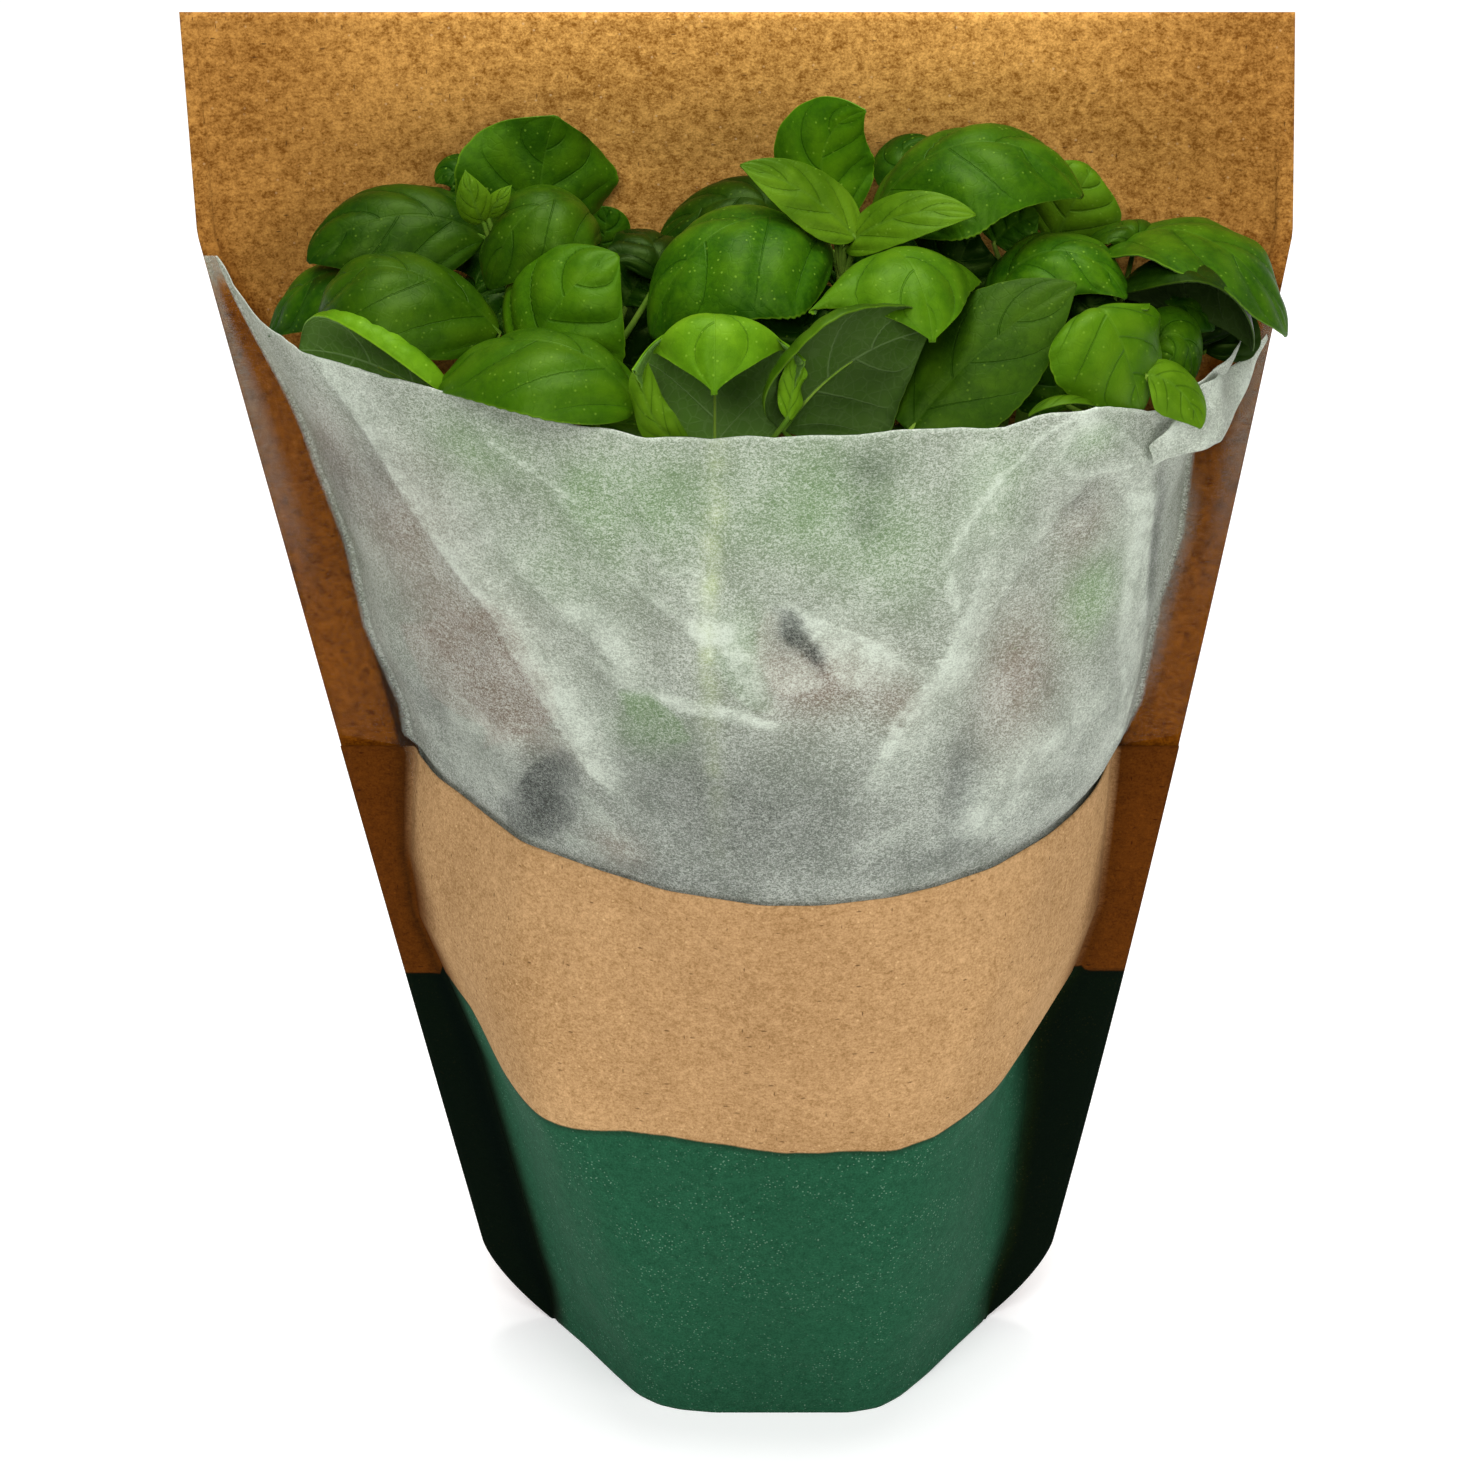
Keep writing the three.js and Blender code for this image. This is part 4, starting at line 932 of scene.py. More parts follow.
# Each stem: its place in the soil, its top, its crown's leaves, and lower pairs [share, compass, length].
stems = {
    "stem_left_back": {
        "foot": (-24, 14), "top": (-62, 10, 314), "lowerPairs": [(0.58, 0, 26), (0.8, 0, 30)],
        "leaves": [
            leaf((-57, 23, 316), (-57, 30, 335), (-53, 33, 351), (0.3, -0.85, 0.4), 42, (20, 35),
                 young=0.05, puff=0.8, ripple=1.8, widest=0.58, tone=0.35, shade=-0.05),
            leaf((-70, 14, 327), (-92, 12, 334), (-113, 7, 324), (0, -0.55, 0.85), 36, (40, 65),
                 ripple=0.3, tone=0.35, shade=0.5),
            leaf((-70, 8, 334), (-72, 5, 341), (-74, 8, 348), (0.1, -0.85, 0.5), 9, (45, 20),
                 young=0.6, puff=0.8, sharp=1.2, tone=0.8, shade=0.2),
            leaf((-43, 18, 328), (-56, 6, 340), (-69, 0, 320), (0, -0.35, 0.95), 31, (45, 60),
                 young=0.05, puff=0.8, ripple=0.8, widest=0.46, shade=0.35),
            leaf((-61, 16, 312), (-70, 20, 320), (-79, 20, 316), (0, -0.5, 0.85), 28, (40, 40), tone=0.05),
            leaf((-74, 31, 331), (-78, 33, 336), (-83, 33, 333), (-0.2, -0.6, 0.8), 13, (40, 40), tone=0.1),
            leaf((-43, 24, 319), (-41, 25, 325), (-42, 26, 330), (0, -0.8, 0.6), 13, (40, 40), tone=0.2),
            leaf((-69, 8, 336), (-66, 6, 341), (-63, 8, 344), (0.1, -0.85, 0.5), 5, (30, 30),
                 young=0.6, puff=0.5, sharp=1.2, tone=0.8, shade=0.2),
        ],
    },
    "stem_left_front": {
        "foot": (-34, -8), "top": (-78, -10, 298), "lowerPairs": [(0.58, 120, 26), (0.8, 135, 32)],
        "leaves": [
            leaf((-97, 10, 310), (-109, 9, 320), (-124, 9, 303), (-0.2, -0.25, 0.95), 30, (45, 65),
                 tone=0.3, shade=0.15),
            leaf((-66, -9, 313), (-92, -8, 330), (-110, -2, 315), (0, -0.25, 0.95), 43, (40, 85),
                 young=0.05, ripple=0.2, tone=0.7, shade=0.45),
            leaf((-76, -26, 299), (-95, -13, 306), (-115, -4, 306), (0.55, 0.8, 0.05), 48, (145, -15),
                 young=0.35, puff=0.4, curl=2.7, widest=0.52, tone=0.8, close=0.3, shade=-0.4),
        ],
    },
    "stem_middle_left": {
        "foot": (-18, -8), "top": (-45, -8, 302), "lowerPairs": [(0.54, 30, 26), (0.8, 90, 31)],
        "leaves": [
            leaf((-59, -18, 307), (-51, -17, 325), (-37, -10, 334), (-0.05, -0.55, 0.85), 42, (50, 50),
                 young=0.05, puff=1.2, widest=0.39, tone=0.8, shade=0.05),
            leaf((-28, 1, 322), (-29, 7, 329), (-35, 19, 327), (0.4, -0.7, 0.6), 22, (35, 35),
                 ripple=0.6, widest=0.46, tone=0.1, shade=0.7),
            leaf((-52, 9, 303), (-62, 14, 312), (-76, 10, 310), (0.05, -0.45, 0.9), 32, (45, 35),
                 tone=0.05),
            leaf((-36, 6, 312), (-35, 8, 315), (-29, 12, 321), (0, -0.6, 0.8), 28, (40, 35), tone=0.05),
            leaf((-34, 2, 292), (-34, 4, 306), (-32, 8, 314), (0, -0.6, 0.8), 30, (40, 40),
                 tone=0, shade=0.65),
        ],
    },
    "stem_front_left": {
        "foot": (-13, -40), "top": (-18, -40, 284), "lowerPairs": [(0.54, 165, 26), (0.8, 165, 30)],
        "leaves": [
            leaf((-31, -43, 310), (-56, -35, 324), (-81, -25, 306), (0, -0.15, 1), 42, (40, 85),
                 young=0.05, tone=0.8, shade=0.2),
            leaf((-14, -39, 293), (-14, -38, 331), (-14, -57, 321), (0, 0.1, 1), 48, (55, 70),
                 young=0.3, puff=0.7, ripple=1, widest=0.64, sharp=1.5, tone=0.9, curl=0.9, close=-0.15,
                 shade=-0.3),
            leaf((-20, -50, 304), (-29, -50, 313), (-30, -43, 324), (-0.35, -0.75, 0.55), 9, (25, 30),
                 young=0.35, puff=0.5, ripple=0.8, tone=0.8, shade=0.15),
            leaf((3, -48, 310), (4, -46, 315), (5, -45, 326), (0.45, -0.7, 0.55), 7, (30, 30),
                 young=0.35, puff=0.5, ripple=0.8, widest=0.47, tone=0.8, shade=-0.35),
        ],
    },
    "stem_middle_front": {
        "foot": (10, -26), "top": (18, -38, 292), "lowerPairs": [(0.58, 165, 26), (0.88, 15, 32)],
        "leaves": [
            leaf((2, -44, 305), (17, -37, 319), (37, -29, 324), (-0.15, 0.95, 0.2), 45, (105, 115),
                 young=0.25, puff=0.7, ripple=0.8, curl=4, widest=0.4, tone=0.6, shade=0.35),
            leaf((32, -39, 302), (50, -25, 317), (72, -15, 329), (-0.2, -0.7, 0.7), 32, (20, 20),
                 young=0.05, puff=0.5, widest=0.39, tone=0.4, shade=0.45),
        ],
    },
    "stem_centre_front": {
        "foot": (16, -6), "top": (28, -6, 300), "lowerPairs": [(0.62, 30, 26), (0.8, 15, 31)],
        "leaves": [
            leaf((20, -7, 318), (29, -16, 338), (37, -38, 325), (0.1, -0.3, 0.95), 53, (60, 35),
                 young=0.15, puff=0.7, ripple=1, sharp=1.15, curl=0.7, widest=0.39, close=-0.2, tone=0.8,
                 shade=-0.05),
            leaf((9, -14, 312), (6, -10, 319), (4, -6, 326), (0, -0.6, 0.8), 30, (40, 40), tone=0.05),
        ],
    },
    "stem_centre": {
        "foot": (2, 6), "top": (17, 2, 326), "lowerPairs": [(0.58, 15, 26), (0.8, 15, 30)],
        "leaves": [
            leaf((13, 6, 330), (-12, -8, 340), (-29, -18, 316), (0, -0.1, 1), 59, (55, 85),
                 tone=0.4, shade=-0.1),
            leaf((17, 12, 331), (12, 15, 349), (22, 11, 362), (-0.05, -0.95, 0.3), 26, (45, 30),
                 young=0.05, puff=0.8, ripple=0.5, shade=-0.55),
            leaf((20, -3, 335), (7, 0, 346), (-8, 2, 352), (0.25, -0.6, 0.75), 16, (10, 10),
                 young=0.5, puff=2.2, widest=0.37, tone=0.8, shade=0.25),
            leaf((17, -2, 332), (31, -7, 343), (48, -9, 344), (0.15, -0.55, 0.8), 14, (15, 10),
                 young=0.4, puff=1.8, tone=0.8, shade=0.2),
            leaf((19, 6, 314), (22, 9, 323), (18, 12, 330), (0, -0.6, 0.8), 32, (40, 40), tone=0.1),
            leaf((15, -1, 334), (15, -1, 336), (13, 0, 337), (0, -0.8, 0.6), 4, (40, 40),
                 young=0.8, tone=0.9),
            leaf((16, -2, 334), (17, -2, 337), (19, -1, 338), (0, -0.8, 0.6), 4, (40, 40),
                 young=0.8, tone=0.9),
        ],
    },
    "stem_back": {
        "foot": (10, 28), "top": (22, 22, 320), "lowerPairs": [(0.62, 15, 26), (0.8, 15, 32)],
        "leaves": [
            leaf((1, 24, 327), (-10, 27, 332), (-28, 25, 321), (-0.2, -0.3, 0.95), 28, (35, 45),
                 widest=0.4, tone=0.2, shade=0.55),
            leaf((24, 14, 332), (48, 15, 352), (75, 12, 339), (0, -0.25, 0.95), 52, (85, 40),
                 puff=1.1, ripple=0.4, tone=0.55, shade=0.1),
            leaf((37, 26, 338), (32, 33, 341), (39, 36, 343), (-0.3, -0.4, 0.85), 17, (30, 30), tone=0.05),
        ],
    },
    "stem_right_back": {
        "foot": (30, 24), "top": (62, 20, 308), "lowerPairs": [(0.58, 15, 26), (0.8, 15, 31)],
        "leaves": [
            leaf((70, 28, 320), (76, 30, 333), (79, 35, 336), (0.15, -0.85, 0.5), 28, (35, 30),
                 young=0.35, puff=0.8, tone=0.7, shade=0.05),
            leaf((54, 16, 325), (59, 18, 329), (65, 19, 331), (-0.1, -0.7, 0.75), 25, (35, 40),
                 young=0.05, tone=0.3, shade=-0.55),
            leaf((45, 8, 311), (46, 12, 322), (50, 16, 328), (0, -0.6, 0.8), 34, (40, 40),
                 tone=0, shade=0.6),
        ],
    },
    "stem_right": {
        "foot": (34, -4), "top": (62, -8, 304), "lowerPairs": [(0.66, 15, 20), (0.88, 15, 30)],
        "leaves": [
            leaf((53, -3, 319), (69, 1, 330), (85, -5, 320), (0, -0.3, 0.95), 29, (50, 50),
                 ripple=0.5, tone=0.35, shade=-0.2),
            leaf((76, -18, 323), (81, -26, 322), (88, -27, 301), (0.35, -0.6, 0.7), 37, (40, 45),
                 young=0.15, puff=0.5, ripple=0.5, widest=0.44, tone=0.9),
            leaf((92, 2, 307), (99, 6, 313), (108, 6, 306), (0, -0.5, 0.85), 24, (40, 40), tone=0.05),
            leaf((76, -4, 306), (77, -2, 315), (79, 2, 320), (0, -0.6, 0.8), 26, (40, 40),
                 tone=0, shade=0.65),
            leaf((97, 8, 300), (98, 9, 310), (100, 11, 316), (0, -0.6, 0.8), 34, (40, 40),
                 tone=0, shade=0.7),
        ],
    },
    "stem_far_right": {
        "foot": (41, 10), "top": (84, 12, 306), "lowerPairs": [(0.5, 105, 26), (0.76, 120, 26)],
        "leaves": [
            leaf((82, 21, 321), (106, 9, 329), (125, -1, 308), (0.05, 0.05, 1), 40, (25, 5),
                 young=0.05, puff=0.6, ripple=0.8, curl=1.1, close=0.15, shade=0.05),
            leaf((83, 2, 318), (104, 7, 325), (117, -1, 304), (0, 0.45, 0.9), 39, (125, 35),
                 young=0.05, puff=0.6, curl=0.7, close=0.15, tone=0.4, shade=0.7),
            leaf((88, 14, 323), (86, 17, 329), (78, 24, 322), (0.35, -0.35, 0.85), 15, (35, 20),
                 young=0.05, tone=0.4, shade=0.4),
            leaf((107, 14, 296), (112, 15, 305), (115, 16, 311), (0, -0.6, 0.8), 22, (40, 40),
                 tone=0, shade=0.7),
        ],
    },
    "stem_right_front": {
        "foot": (31, -25), "top": (86, -20, 296), "lowerPairs": [(0.62, 45, 26), (0.72, 45, 25)],
        "leaves": [
            leaf((90, -7, 306), (99, -6, 310), (101, -7, 297), (0.2, -0.5, 0.85), 17, (30, 35),
                 young=0.05, puff=0.6, tone=0.4, shade=-0.2),
            leaf((89, -25, 310), (97, -26, 306), (102, -30, 298), (0.3, -0.45, 0.85), 16, (30, 35),
                 young=0.45, puff=0.5, tone=0.8, shade=0.1),
            leaf((76, -32, 305), (68, -34, 309), (60, -39, 306), (-0.05, 0.4, 0.9), 10, (45, 50),
                 young=0.3, puff=0.5, tone=0.8, shade=0.3),
            leaf((71, -18, 298), (67, -14, 305), (64, -10, 314), (0, -0.6, 0.8), 24, (40, 40), tone=0.1),
        ],
    },
}


def bezier(t, points):
    # cubic curve through its first and last control point, drawn towards the two between
    a, b, c, d = (np.asarray(p, float) for p in points)
    t = np.asarray(t)[..., None]
    return (1 - t) ** 3 * a + 3 * t * (1 - t) ** 2 * b + 3 * t * t * (1 - t) * c + t**3 * d


def evenly(points, shares):
    # places on the cubic curve at the given shares of its length, and that length
    t = np.linspace(0, 1, 201)
    track = bezier(t, points)
    length = np.concatenate([[0], np.cumsum(np.linalg.norm(np.diff(track, axis=0), axis=1))])
    return bezier(np.interp(np.asarray(shares) * length[-1], length, t), points), length[-1]


def midribPoints(blade):
    # inner points rise 4/3 of the crest's height over the chord, closer together the flatter the leaf is
    foot, crest, tip = (np.asarray(blade[k], float) for k in ("foot", "crest", "tip"))
    rise, half = crest - (foot + tip) / 2, (tip - foot) / 2
    lean = 0.66 / (1 + (np.linalg.norm(rise) / np.linalg.norm(half)) ** 2)
    return foot, foot + rise * 4 / 3 + half * lean, tip + rise * 4 / 3 - half * lean, tip


def carriedNormals(tangents, looks):
    # the direction the middle of the leaf looks in, carried to both ends without twisting
    def square(v, tangent):
        return unit(v - np.dot(v, tangent) * tangent)

    normals = np.zeros_like(tangents)
    mid = len(tangents) // 2
    normals[mid] = square(np.asarray(looks, float), tangents[mid])
    for i in range(mid + 1, len(tangents)):
        normals[i] = square(normals[i - 1], tangents[i])
    for i in range(mid - 1, -1, -1):
        normals[i] = square(normals[i + 1], tangents[i])
    return normals


def leafOutline(t, widest, sharp):
    # half-width as a share of the widest: a rounded foot, and a tip drawn out the more the higher sharp is
    low = (1 - np.clip((widest - t) / widest, 0, 1) ** 2.4) ** 0.55
    high = np.maximum(0, 1 - np.clip((t - widest) / (1 - widest), 0, 1) ** 2.0) ** sharp
    return np.where(t < widest, low, high)


def addBlade(pile, blade, rows, columns, seed):
    # Each row leaves the midrib and turns as bend * share^0.5 * (1 + close * (1 - 2t)) * |s|^curl, where s
    # goes from -1 to 1 across. out and drop add up cos(turn) and sin(turn) along it, so a curl of 1 makes
    # circles and a high one folds the margin over. Side veins lie where the phase, which grows with
    # t - sweep * |s|^sweepPower, is a whole number, and between them the blade puffs up as
    # |sin(pi * phase)|^0.6.
    rng = np.random.default_rng(seed)
    curve = midribPoints(blade)
    t = np.linspace(0, 1, rows)
    points, length = evenly(curve, t)
    tangents = unit(np.gradient(points, axis=0))
    normals = carriedNormals(tangents, blade["looks"])
    side = np.cross(tangents, normals)
    share = np.maximum(leafOutline(t, blade["widest"], blade["sharp"]), 0.03)
    toothed = np.abs(np.sin(math.pi * t * length / bladeShape["toothLength"] + rng.uniform(0, 3)))
    teeth = 1 + bladeShape["teeth"] * toothed * smoothStep(t, 0.12, 0.3)
    reach = (blade["width"] / 2 * share * teeth)[:, None]
    quarter = math.pi / 2 * 0.92  # columns crowd a little towards the margins
    s = (np.sin(np.linspace(-1, 1, columns) * quarter) / math.sin(quarter))[None, :]
    bend = np.radians(np.where(s < 0, blade["bend"][0], blade["bend"][1])) * np.sqrt(share)[:, None]
    bend = bend * (1 + blade["close"] * (1 - 2 * t))[:, None]
    turn = bend * np.sign(s) * np.abs(s) ** blade["curl"]
    steps = np.diff(s, prepend=s[:, :1])
    halfway = (turn + np.roll(turn, 1, axis=1)) / 2
    out, drop = np.cumsum(np.cos(halfway) * steps, 1), np.cumsum(np.sin(halfway) * steps, 1)
    middle = columns // 2
    out = (out - out[:, middle:middle + 1]) * reach
    drop = (drop - drop[:, middle:middle + 1]) * reach
    spot = points[:, None] + side[:, None] * out[..., None] - normals[:, None] * drop[..., None]
    up = normals[:, None] * np.cos(turn)[..., None] + side[:, None] * np.sin(turn)[..., None]
    shift = rng.uniform(0, 1)
    swept = t[:, None] - bladeShape["sweep"] * np.abs(s) ** bladeShape["sweepPower"]
    phase = swept * bladeShape["ribs"] + shift + np.where(s < 0, bladeShape["offset"], 0.0)
    pillow = np.abs(np.sin(math.pi * phase)) ** 0.6 - 0.6
    across = np.minimum(1, np.abs(s) * 5) * (1 - np.abs(s) ** 3)
    fade = smoothStep(t, 0.0, 0.15)[:, None] * (1 - smoothStep(t, 0.8, 1.0))[:, None]
    lift = bladeShape["puff"] * blade["width"] * blade["puff"] * pillow * across * fade
    groove = np.exp(-((s * reach / bladeShape["grooveWidth"]) ** 2))
    lift = lift - bladeShape["groove"] * groove * (1 - t[:, None] * 0.6)
    wave = np.sin(fullTurn * t * rng.uniform(2.1, 3.2) + rng.uniform(0, 6))
    ripple = blade["ripple"] * wave * smoothStep(t, 0.05, 0.3) * (1 - smoothStep(t, 0.85, 1.0))
    lift = lift + ripple[:, None] * np.abs(s) ** 3
    spot = spot + up * lift[..., None]
    wall = bladeShape["wall"] / 2
    uv = np.stack(np.broadcast_arrays((s + 1) / 2, t[:, None]), -1)
    marks = {name: float(blade[name]) for name in ("young", "tone", "shade")}
    marks.update(shift=float(shift), length=float(length), stalk=0.0)
    marks["halfWidth"] = np.broadcast_to(reach, spot.shape[:2])
    pile.sheet(spot + up * wall, spot - up * wall, uv, marks)


def addTube(pile, track, radii, sides, marks, square=0.0):
    # circles round the track, pushed out at four corners by (1 + square * cos(4 turn))
    tangents = unit(np.gradient(track, axis=0))
    across = unit(np.array([1.0, 0, 0]) - tangents[:, :1] * tangents)
    other = np.cross(tangents, across)
    turn = np.linspace(0, 2 * math.pi, sides + 1)[:-1]
    radius = np.asarray(radii)[:, None] * (1 + square * np.cos(4 * turn))[None, :]
    sideways = (radius * np.cos(turn))[..., None] * across[:, None]
    rings = track[:, None] + sideways + (radius * np.sin(turn))[..., None] * other[:, None]
    v = np.linspace(0, 1, len(track))[:, None] + 0 * turn
    uv = np.stack([turn[None, :] / (2 * math.pi) + 0 * v, v], -1)
    pile.rings(rings, uv, {"stalk": 1.0, **marks})


def stemTrack(stem):
    # straight up out of the soil for 0.4 of the climb, then over to the top in the direction of its lean
    free = soil["top"] + 4
    foot = np.array([*stem["foot"], free], float)
    top = np.asarray(stem["top"], float)
    climb = top[2] - free
    lean = top * 0.85 + foot * 0.15
    return foot, foot + [0, 0, 0.4 * climb], np.array([lean[0], lean[1], top[2] - 0.35 * climb]), top


def addStalk(pile, start, blade, young):
    # from the stem, sagging a little, to the blade's foot and on under its midrib
    rings = stalkShape["rings"]
    foot = np.asarray(blade["foot"], float)
    sag = stalkShape["sag"] * np.linalg.norm(foot - start)
    middle = start + 0.55 * (foot - start) - np.array([0, 0, sag])
    t = np.linspace(0, 1, rings)[:, None]
    track = (1 - t) ** 2 * start + 2 * t * (1 - t) * middle + t**2 * foot
    spine, _ = evenly(midribPoints(blade), np.linspace(0, 1, 20))
    normals = carriedNormals(unit(np.gradient(spine, axis=0)), blade["looks"])
    spine = (spine - normals * stalkShape["under"])[1:11]
    track = np.concatenate([track, spine])
    free = np.linspace(stalkShape["foot"], stalkShape["tip"], rings)
    radii = np.concatenate([free, np.linspace(0.45, stalkShape["end"], len(spine))])
    addTube(pile, track, radii, stalkShape["sides"], {"young": young})


def lowerBlade(at, compass, length):
    # a plain leaf that leaves the stem at a compass angle, arched over its middle
    turn = math.radians(compass)
    out = np.array([math.cos(turn), math.sin(turn), 0])
    petiole, rise = lowerLeaf["petiole"], lowerLeaf["rise"]

    def spot(distance, lift):
        return at + out * distance + np.array([0, 0, lift])

    crest = spot(petiole + length / 2, rise + lowerLeaf["arch"])
    width, bend = lowerLeaf["width"] * length, (lowerLeaf["bend"],) * 2
    tip = spot(petiole + length, 0)
    return leaf(spot(petiole, rise), crest, tip, (0, 0, 1), width, bend, puff=0.9, tone=0.4)


def basilStem(name, stem, number, look):
    # a tapering tube up the stem's track, with a blade and a stalk for every leaf
    pile = Pile()
    curve = stemTrack(stem)
    along, _ = evenly(curve, np.linspace(0, 1, stemShape["rings"]))
    low = np.array([[*stem["foot"], soil["top"] - soil["holeDepth"] + 0.3]])
    track = np.concatenate([low, low + [0, 0, 9], along])
    tapering = np.linspace(stemShape["foot"], stemShape["top"], len(along))
    radii = np.concatenate([[stemShape["foot"]] * 2, tapering])
    marks = {"young": 0.5, "length": 200.0}
    addTube(pile, track, radii, stemShape["sides"], marks, stemShape["corners"])
    top, _ = evenly(curve, [stemShape["crownAt"]])
    seed = number * seedsPerStem
    for k, blade in enumerate(stem["leaves"]):
        addBlade(pile, blade, *bladeGrid["big" if blade["width"] > bigLeaf else "small"], seed + k)
        addStalk(pile, top[0], blade, 0.5)
    for k, (share, compass, length) in enumerate(stem["lowerPairs"]):
        at, _ = evenly(curve, [share])
        for second in (0, 1):
            blade = lowerBlade(at[0], compass + 180 * second, length)
            addBlade(pile, blade, *bladeGrid["lower"], seed + 20 + k * 2 + second)
            addStalk(pile, at[0], blade, 0.3)
    return pile.piece("leafy_" + name, look)


leafColours = {
    "old": srgb(52, 92, 4), "deep": srgb(20, 56, 4), "paleGreen": srgb(78, 112, 10),
    "young": srgb(112, 150, 26), "vein": srgb(76, 112, 28), "gland": srgb(106, 140, 40),
    "stem": srgb(118, 146, 52),
    "under": srgb(66, 92, 42), "underVein": srgb(104, 130, 78),
    "through": srgb(96, 136, 6), "gloss": srgb(205, 255, 120),
}


def leafLook():
    # side veins are where the blade's own phase is near a whole number, and the midrib where s is near 0
    look = Look("basilLeaf")
    under, young, tone, stalk = (look.mark(name) for name in ("under", "young", "tone", "stalk"))
    flat = look.node("ShaderNodeUVMap", {"uv_map": "pieceUv"})
    s = look.node("ShaderNodeSeparateXYZ", {}, {0: flat}, 0) * 2.0 - 1.0
    t = look.node("ShaderNodeSeparateXYZ", {}, {0: flat}, 1)
    outward = s.size()
    swept = t - (outward ** bladeShape["sweepPower"]) * bladeShape["sweep"]
    onLeft = s.maths("LESS_THAN", 0.0)
    phase = swept * bladeShape["ribs"] + look.mark("shift") + onLeft * bladeShape["offset"]
    fromMiddle = (phase.maths("FRACT") - 0.5).size()
    ribGap = (0.5 - fromMiddle) * look.mark("length") / bladeShape["ribs"]
    rib = 1 - (ribGap / (0.5 - outward * 0.3)).step(0.25, 1.0)
    rib = rib * (1 - outward.step(0.62, 0.95)) * t.step(0.02, 0.1) * (1 - t.step(0.8, 0.95))
    midrib = 1 - (outward * look.mark("halfWidth") / (1.0 - t * 0.75)).step(0.3, 0.75)
    netLine = 1 - look.cells(0.0026, "DISTANCE_TO_EDGE").step(0.0, 0.1)
    cloud = look.noise(0.011, 3, 0.55)
    cloudy = cloud.step(0.3, 0.7)
    grain = look.noise(0.0008, 3, 0.6)
    freckle = look.noise(0.0017, 3, 0.65)
    glands = look.spots(0.0021, 0.09, 0.18) * look.noise(0.01, 1, 0.5).step(0.3, 0.55)
    age = (tone * 0.5 + cloud * 0.6 + freckle * 0.5 + grain * 0.15 - 0.4).step(0.1, 0.8)
    # painted highlight: the blade lighter on top where it puffs up between the side veins
    puffHighlight = fromMiddle.step(0.1, 0.5, 1.0, 0.0) * (1 - outward.step(0.5, 1.0)) * cloud.step(0.35, 0.65)
    upper = look.mix(age, leafColours["deep"], leafColours["old"])
    lower = look.mix(cloudy * 0.35, leafColours["under"], leafColours["old"])
    bright = look.mix(cloudy, leafColours["paleGreen"], leafColours["young"])
    for share, colour in (
        # the painted highlight on the puffed blade
        (puffHighlight * 0.3 * (0.4 + tone), leafColours["paleGreen"]),
        (young, bright),
        # painted shade: darker along the side veins, where the blade dips between its puffs
        (rib * (0.34 - young * 0.1), leafColours["deep"]),
        (midrib * (young * 0.5 + 0.12), leafColours["vein"]),
        (netLine * 0.05, leafColours["deep"]),
        (glands * 0.55, leafColours["gland"]),
        (outward.step(0.97, 1.0) * 0.35, leafColours["young"]),
    ):
        upper = look.mix(share, upper, colour)
    for share, colour in (
        ((rib * 0.8).least(midrib) * 0.8, leafColours["underVein"]),
        (netLine * 0.2, leafColours["underVein"]),
        (young * 0.35, leafColours["paleGreen"]),
    ):
        lower = look.mix(share, lower, colour)
    colour = look.mix(under, upper, lower)
    # painted shade: every leaf's colour scaled by 1 - shade, darker for leaves in their neighbours' shadow,
    # lighter where shade is below 0
    light = 1 - look.mark("shade")
    colour = look.node("ShaderNodeVectorMath", {"operation": "SCALE"}, {0: colour, 3: light})
    colour = look.mix(stalk, colour, look.mix(cloudy, leafColours["stem"], leafColours["vein"]))
    raised = (rib * 0.8).least(midrib * 0.3) * (under * 1.6 - 0.8)
    raised = raised + netLine * (under * 0.3 - 0.08) + grain * 0.12 + cloud * 0.2
    rough = under.step(0, 1, 0.34, 0.6) + grain * 0.12
    normal = look.bump(raised, 0.00035, 0.7)
    skin = look.skin(colour, rough, normal=normal, gloss=0.15, glossTint=leafColours["gloss"])
    glow = look.node("ShaderNodeBsdfTranslucent", {}, {"Color": leafColours["through"]})
    return look.surface(look.blend(0.08, skin, glow))


front = kraftFrontPiece()
back = kraftBackPiece()
foot = bottomPiece()
window = windowPiece()
for thing, node, slot in (
    (front, "sleeve_front_panel", "printed_paper"),
    (back, "sleeve_back_panel", "kraft_paper"),
    (foot, "sleeve_bottom", "printed_paper"),
    (window, "sleeve_window", "window_paper"),
):
    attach(thing, "root")
    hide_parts(node)
print("sleeve made")

for node, material in (("nursery_pot", potLook()), ("soil_plug", soilLook())):
    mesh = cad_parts[node].data
    mesh.materials.clear()
    mesh.materials.append(material)
print("pot and soil finished")

basilLeafLook = leafLook()
for number, (name, stem) in enumerate(stems.items()):
    thing = basilStem(name, stem, number, basilLeafLook)
    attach(thing, "root")
    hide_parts(name)
print("basil grown")

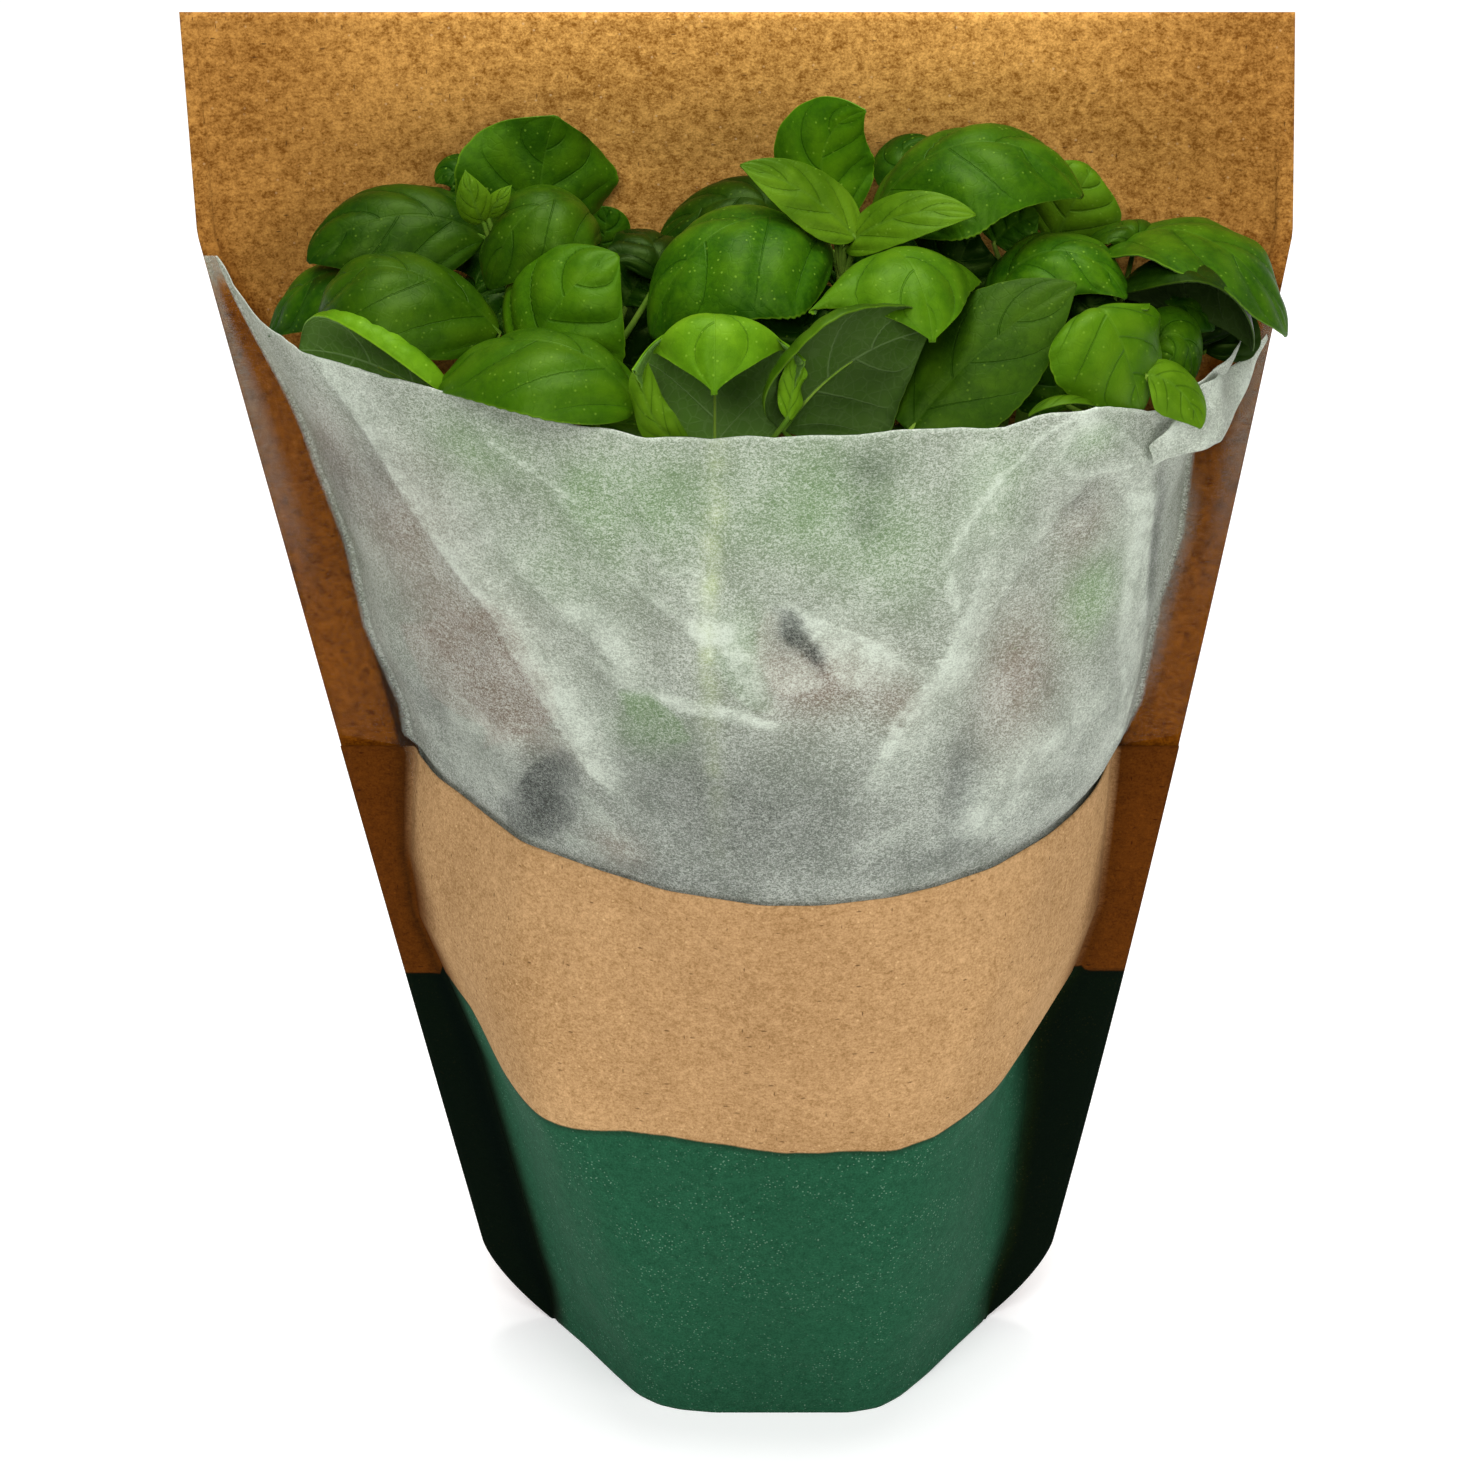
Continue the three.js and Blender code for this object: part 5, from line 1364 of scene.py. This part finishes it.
studio = {
    "pitch": 32.0, "target": (-0.00874, 0.0, 0.19241), "distance": 1.1, "focal": 4265.0, "frame": 1474.0,
    "sensor": 36.0, "sky": 0.15, "floorHalf": 6, "lightsAim": (0, 0, 0.2),
}
lights = {  # place, size in metres, watts
    "keyLight": ((-0.25, -1.2, 1.5), 0.9, 20),
    "fillLight": ((0.8, -1.0, 1.0), 1.0, 7),
    "topLight": ((0.0, 0.2, 1.75), 1.1, 29),
}


def floorPiece():
    # one flat square, pale and faintly lit from within
    reach = studio["floorHalf"]
    corners = [(x * reach, y * reach, 0) for x, y in ((-1, -1), (1, -1), (1, 1), (-1, 1))]
    mesh = bpy.data.meshes.new("floor")
    mesh.from_pydata(corners, [], [(0, 1, 2, 3)])
    thing = bpy.data.objects.new("floor", mesh)
    bpy.context.scene.collection.objects.link(thing)
    look = Look("paleFloor")
    skin = look.skin((0.93, 0.93, 0.93, 1), 0.8, glow=(1, 1, 1, 1), glowStrength=0.26)
    mesh.materials.append(look.surface(skin))


def softLight(name, place, size, watts):
    # a round lamp turned towards the middle of the sleeve
    data = bpy.data.lights.new(name, "AREA")
    data.shape, data.size, data.energy = "DISK", size, watts
    thing = bpy.data.objects.new(name, data)
    thing.location = place
    towards = Vector(studio["lightsAim"]) - Vector(place)
    thing.rotation_euler = towards.to_track_quat("-Z", "Y").to_euler()
    bpy.context.scene.collection.objects.link(thing)


floorPiece()
for name, (place, size, watts) in lights.items():
    softLight(name, place, size, watts)
world = bpy.data.worlds.new("paleStudio")
bpy.context.scene.world = world
world.use_nodes = True
background = world.node_tree.nodes["Background"]
background.inputs["Color"].default_value = (1, 1, 1, 1)
background.inputs["Strength"].default_value = studio["sky"]

camera = bpy.data.cameras.new("camera")
camera.sensor_fit, camera.sensor_width = "HORIZONTAL", studio["sensor"]
camera.lens = studio["sensor"] * studio["focal"] / studio["frame"]
cameraThing = bpy.data.objects.new("camera", camera)
pitch = math.radians(studio["pitch"])
looking = Vector((0, math.cos(pitch), -math.sin(pitch)))
cameraThing.location = Vector(studio["target"]) - looking * studio["distance"]
cameraThing.rotation_euler = (math.radians(90) - pitch, 0, 0)
bpy.context.scene.collection.objects.link(cameraThing)
bpy.context.scene.camera = cameraThing
bpy.context.scene.view_settings.view_transform = "Standard"
print("floor, light and camera placed")
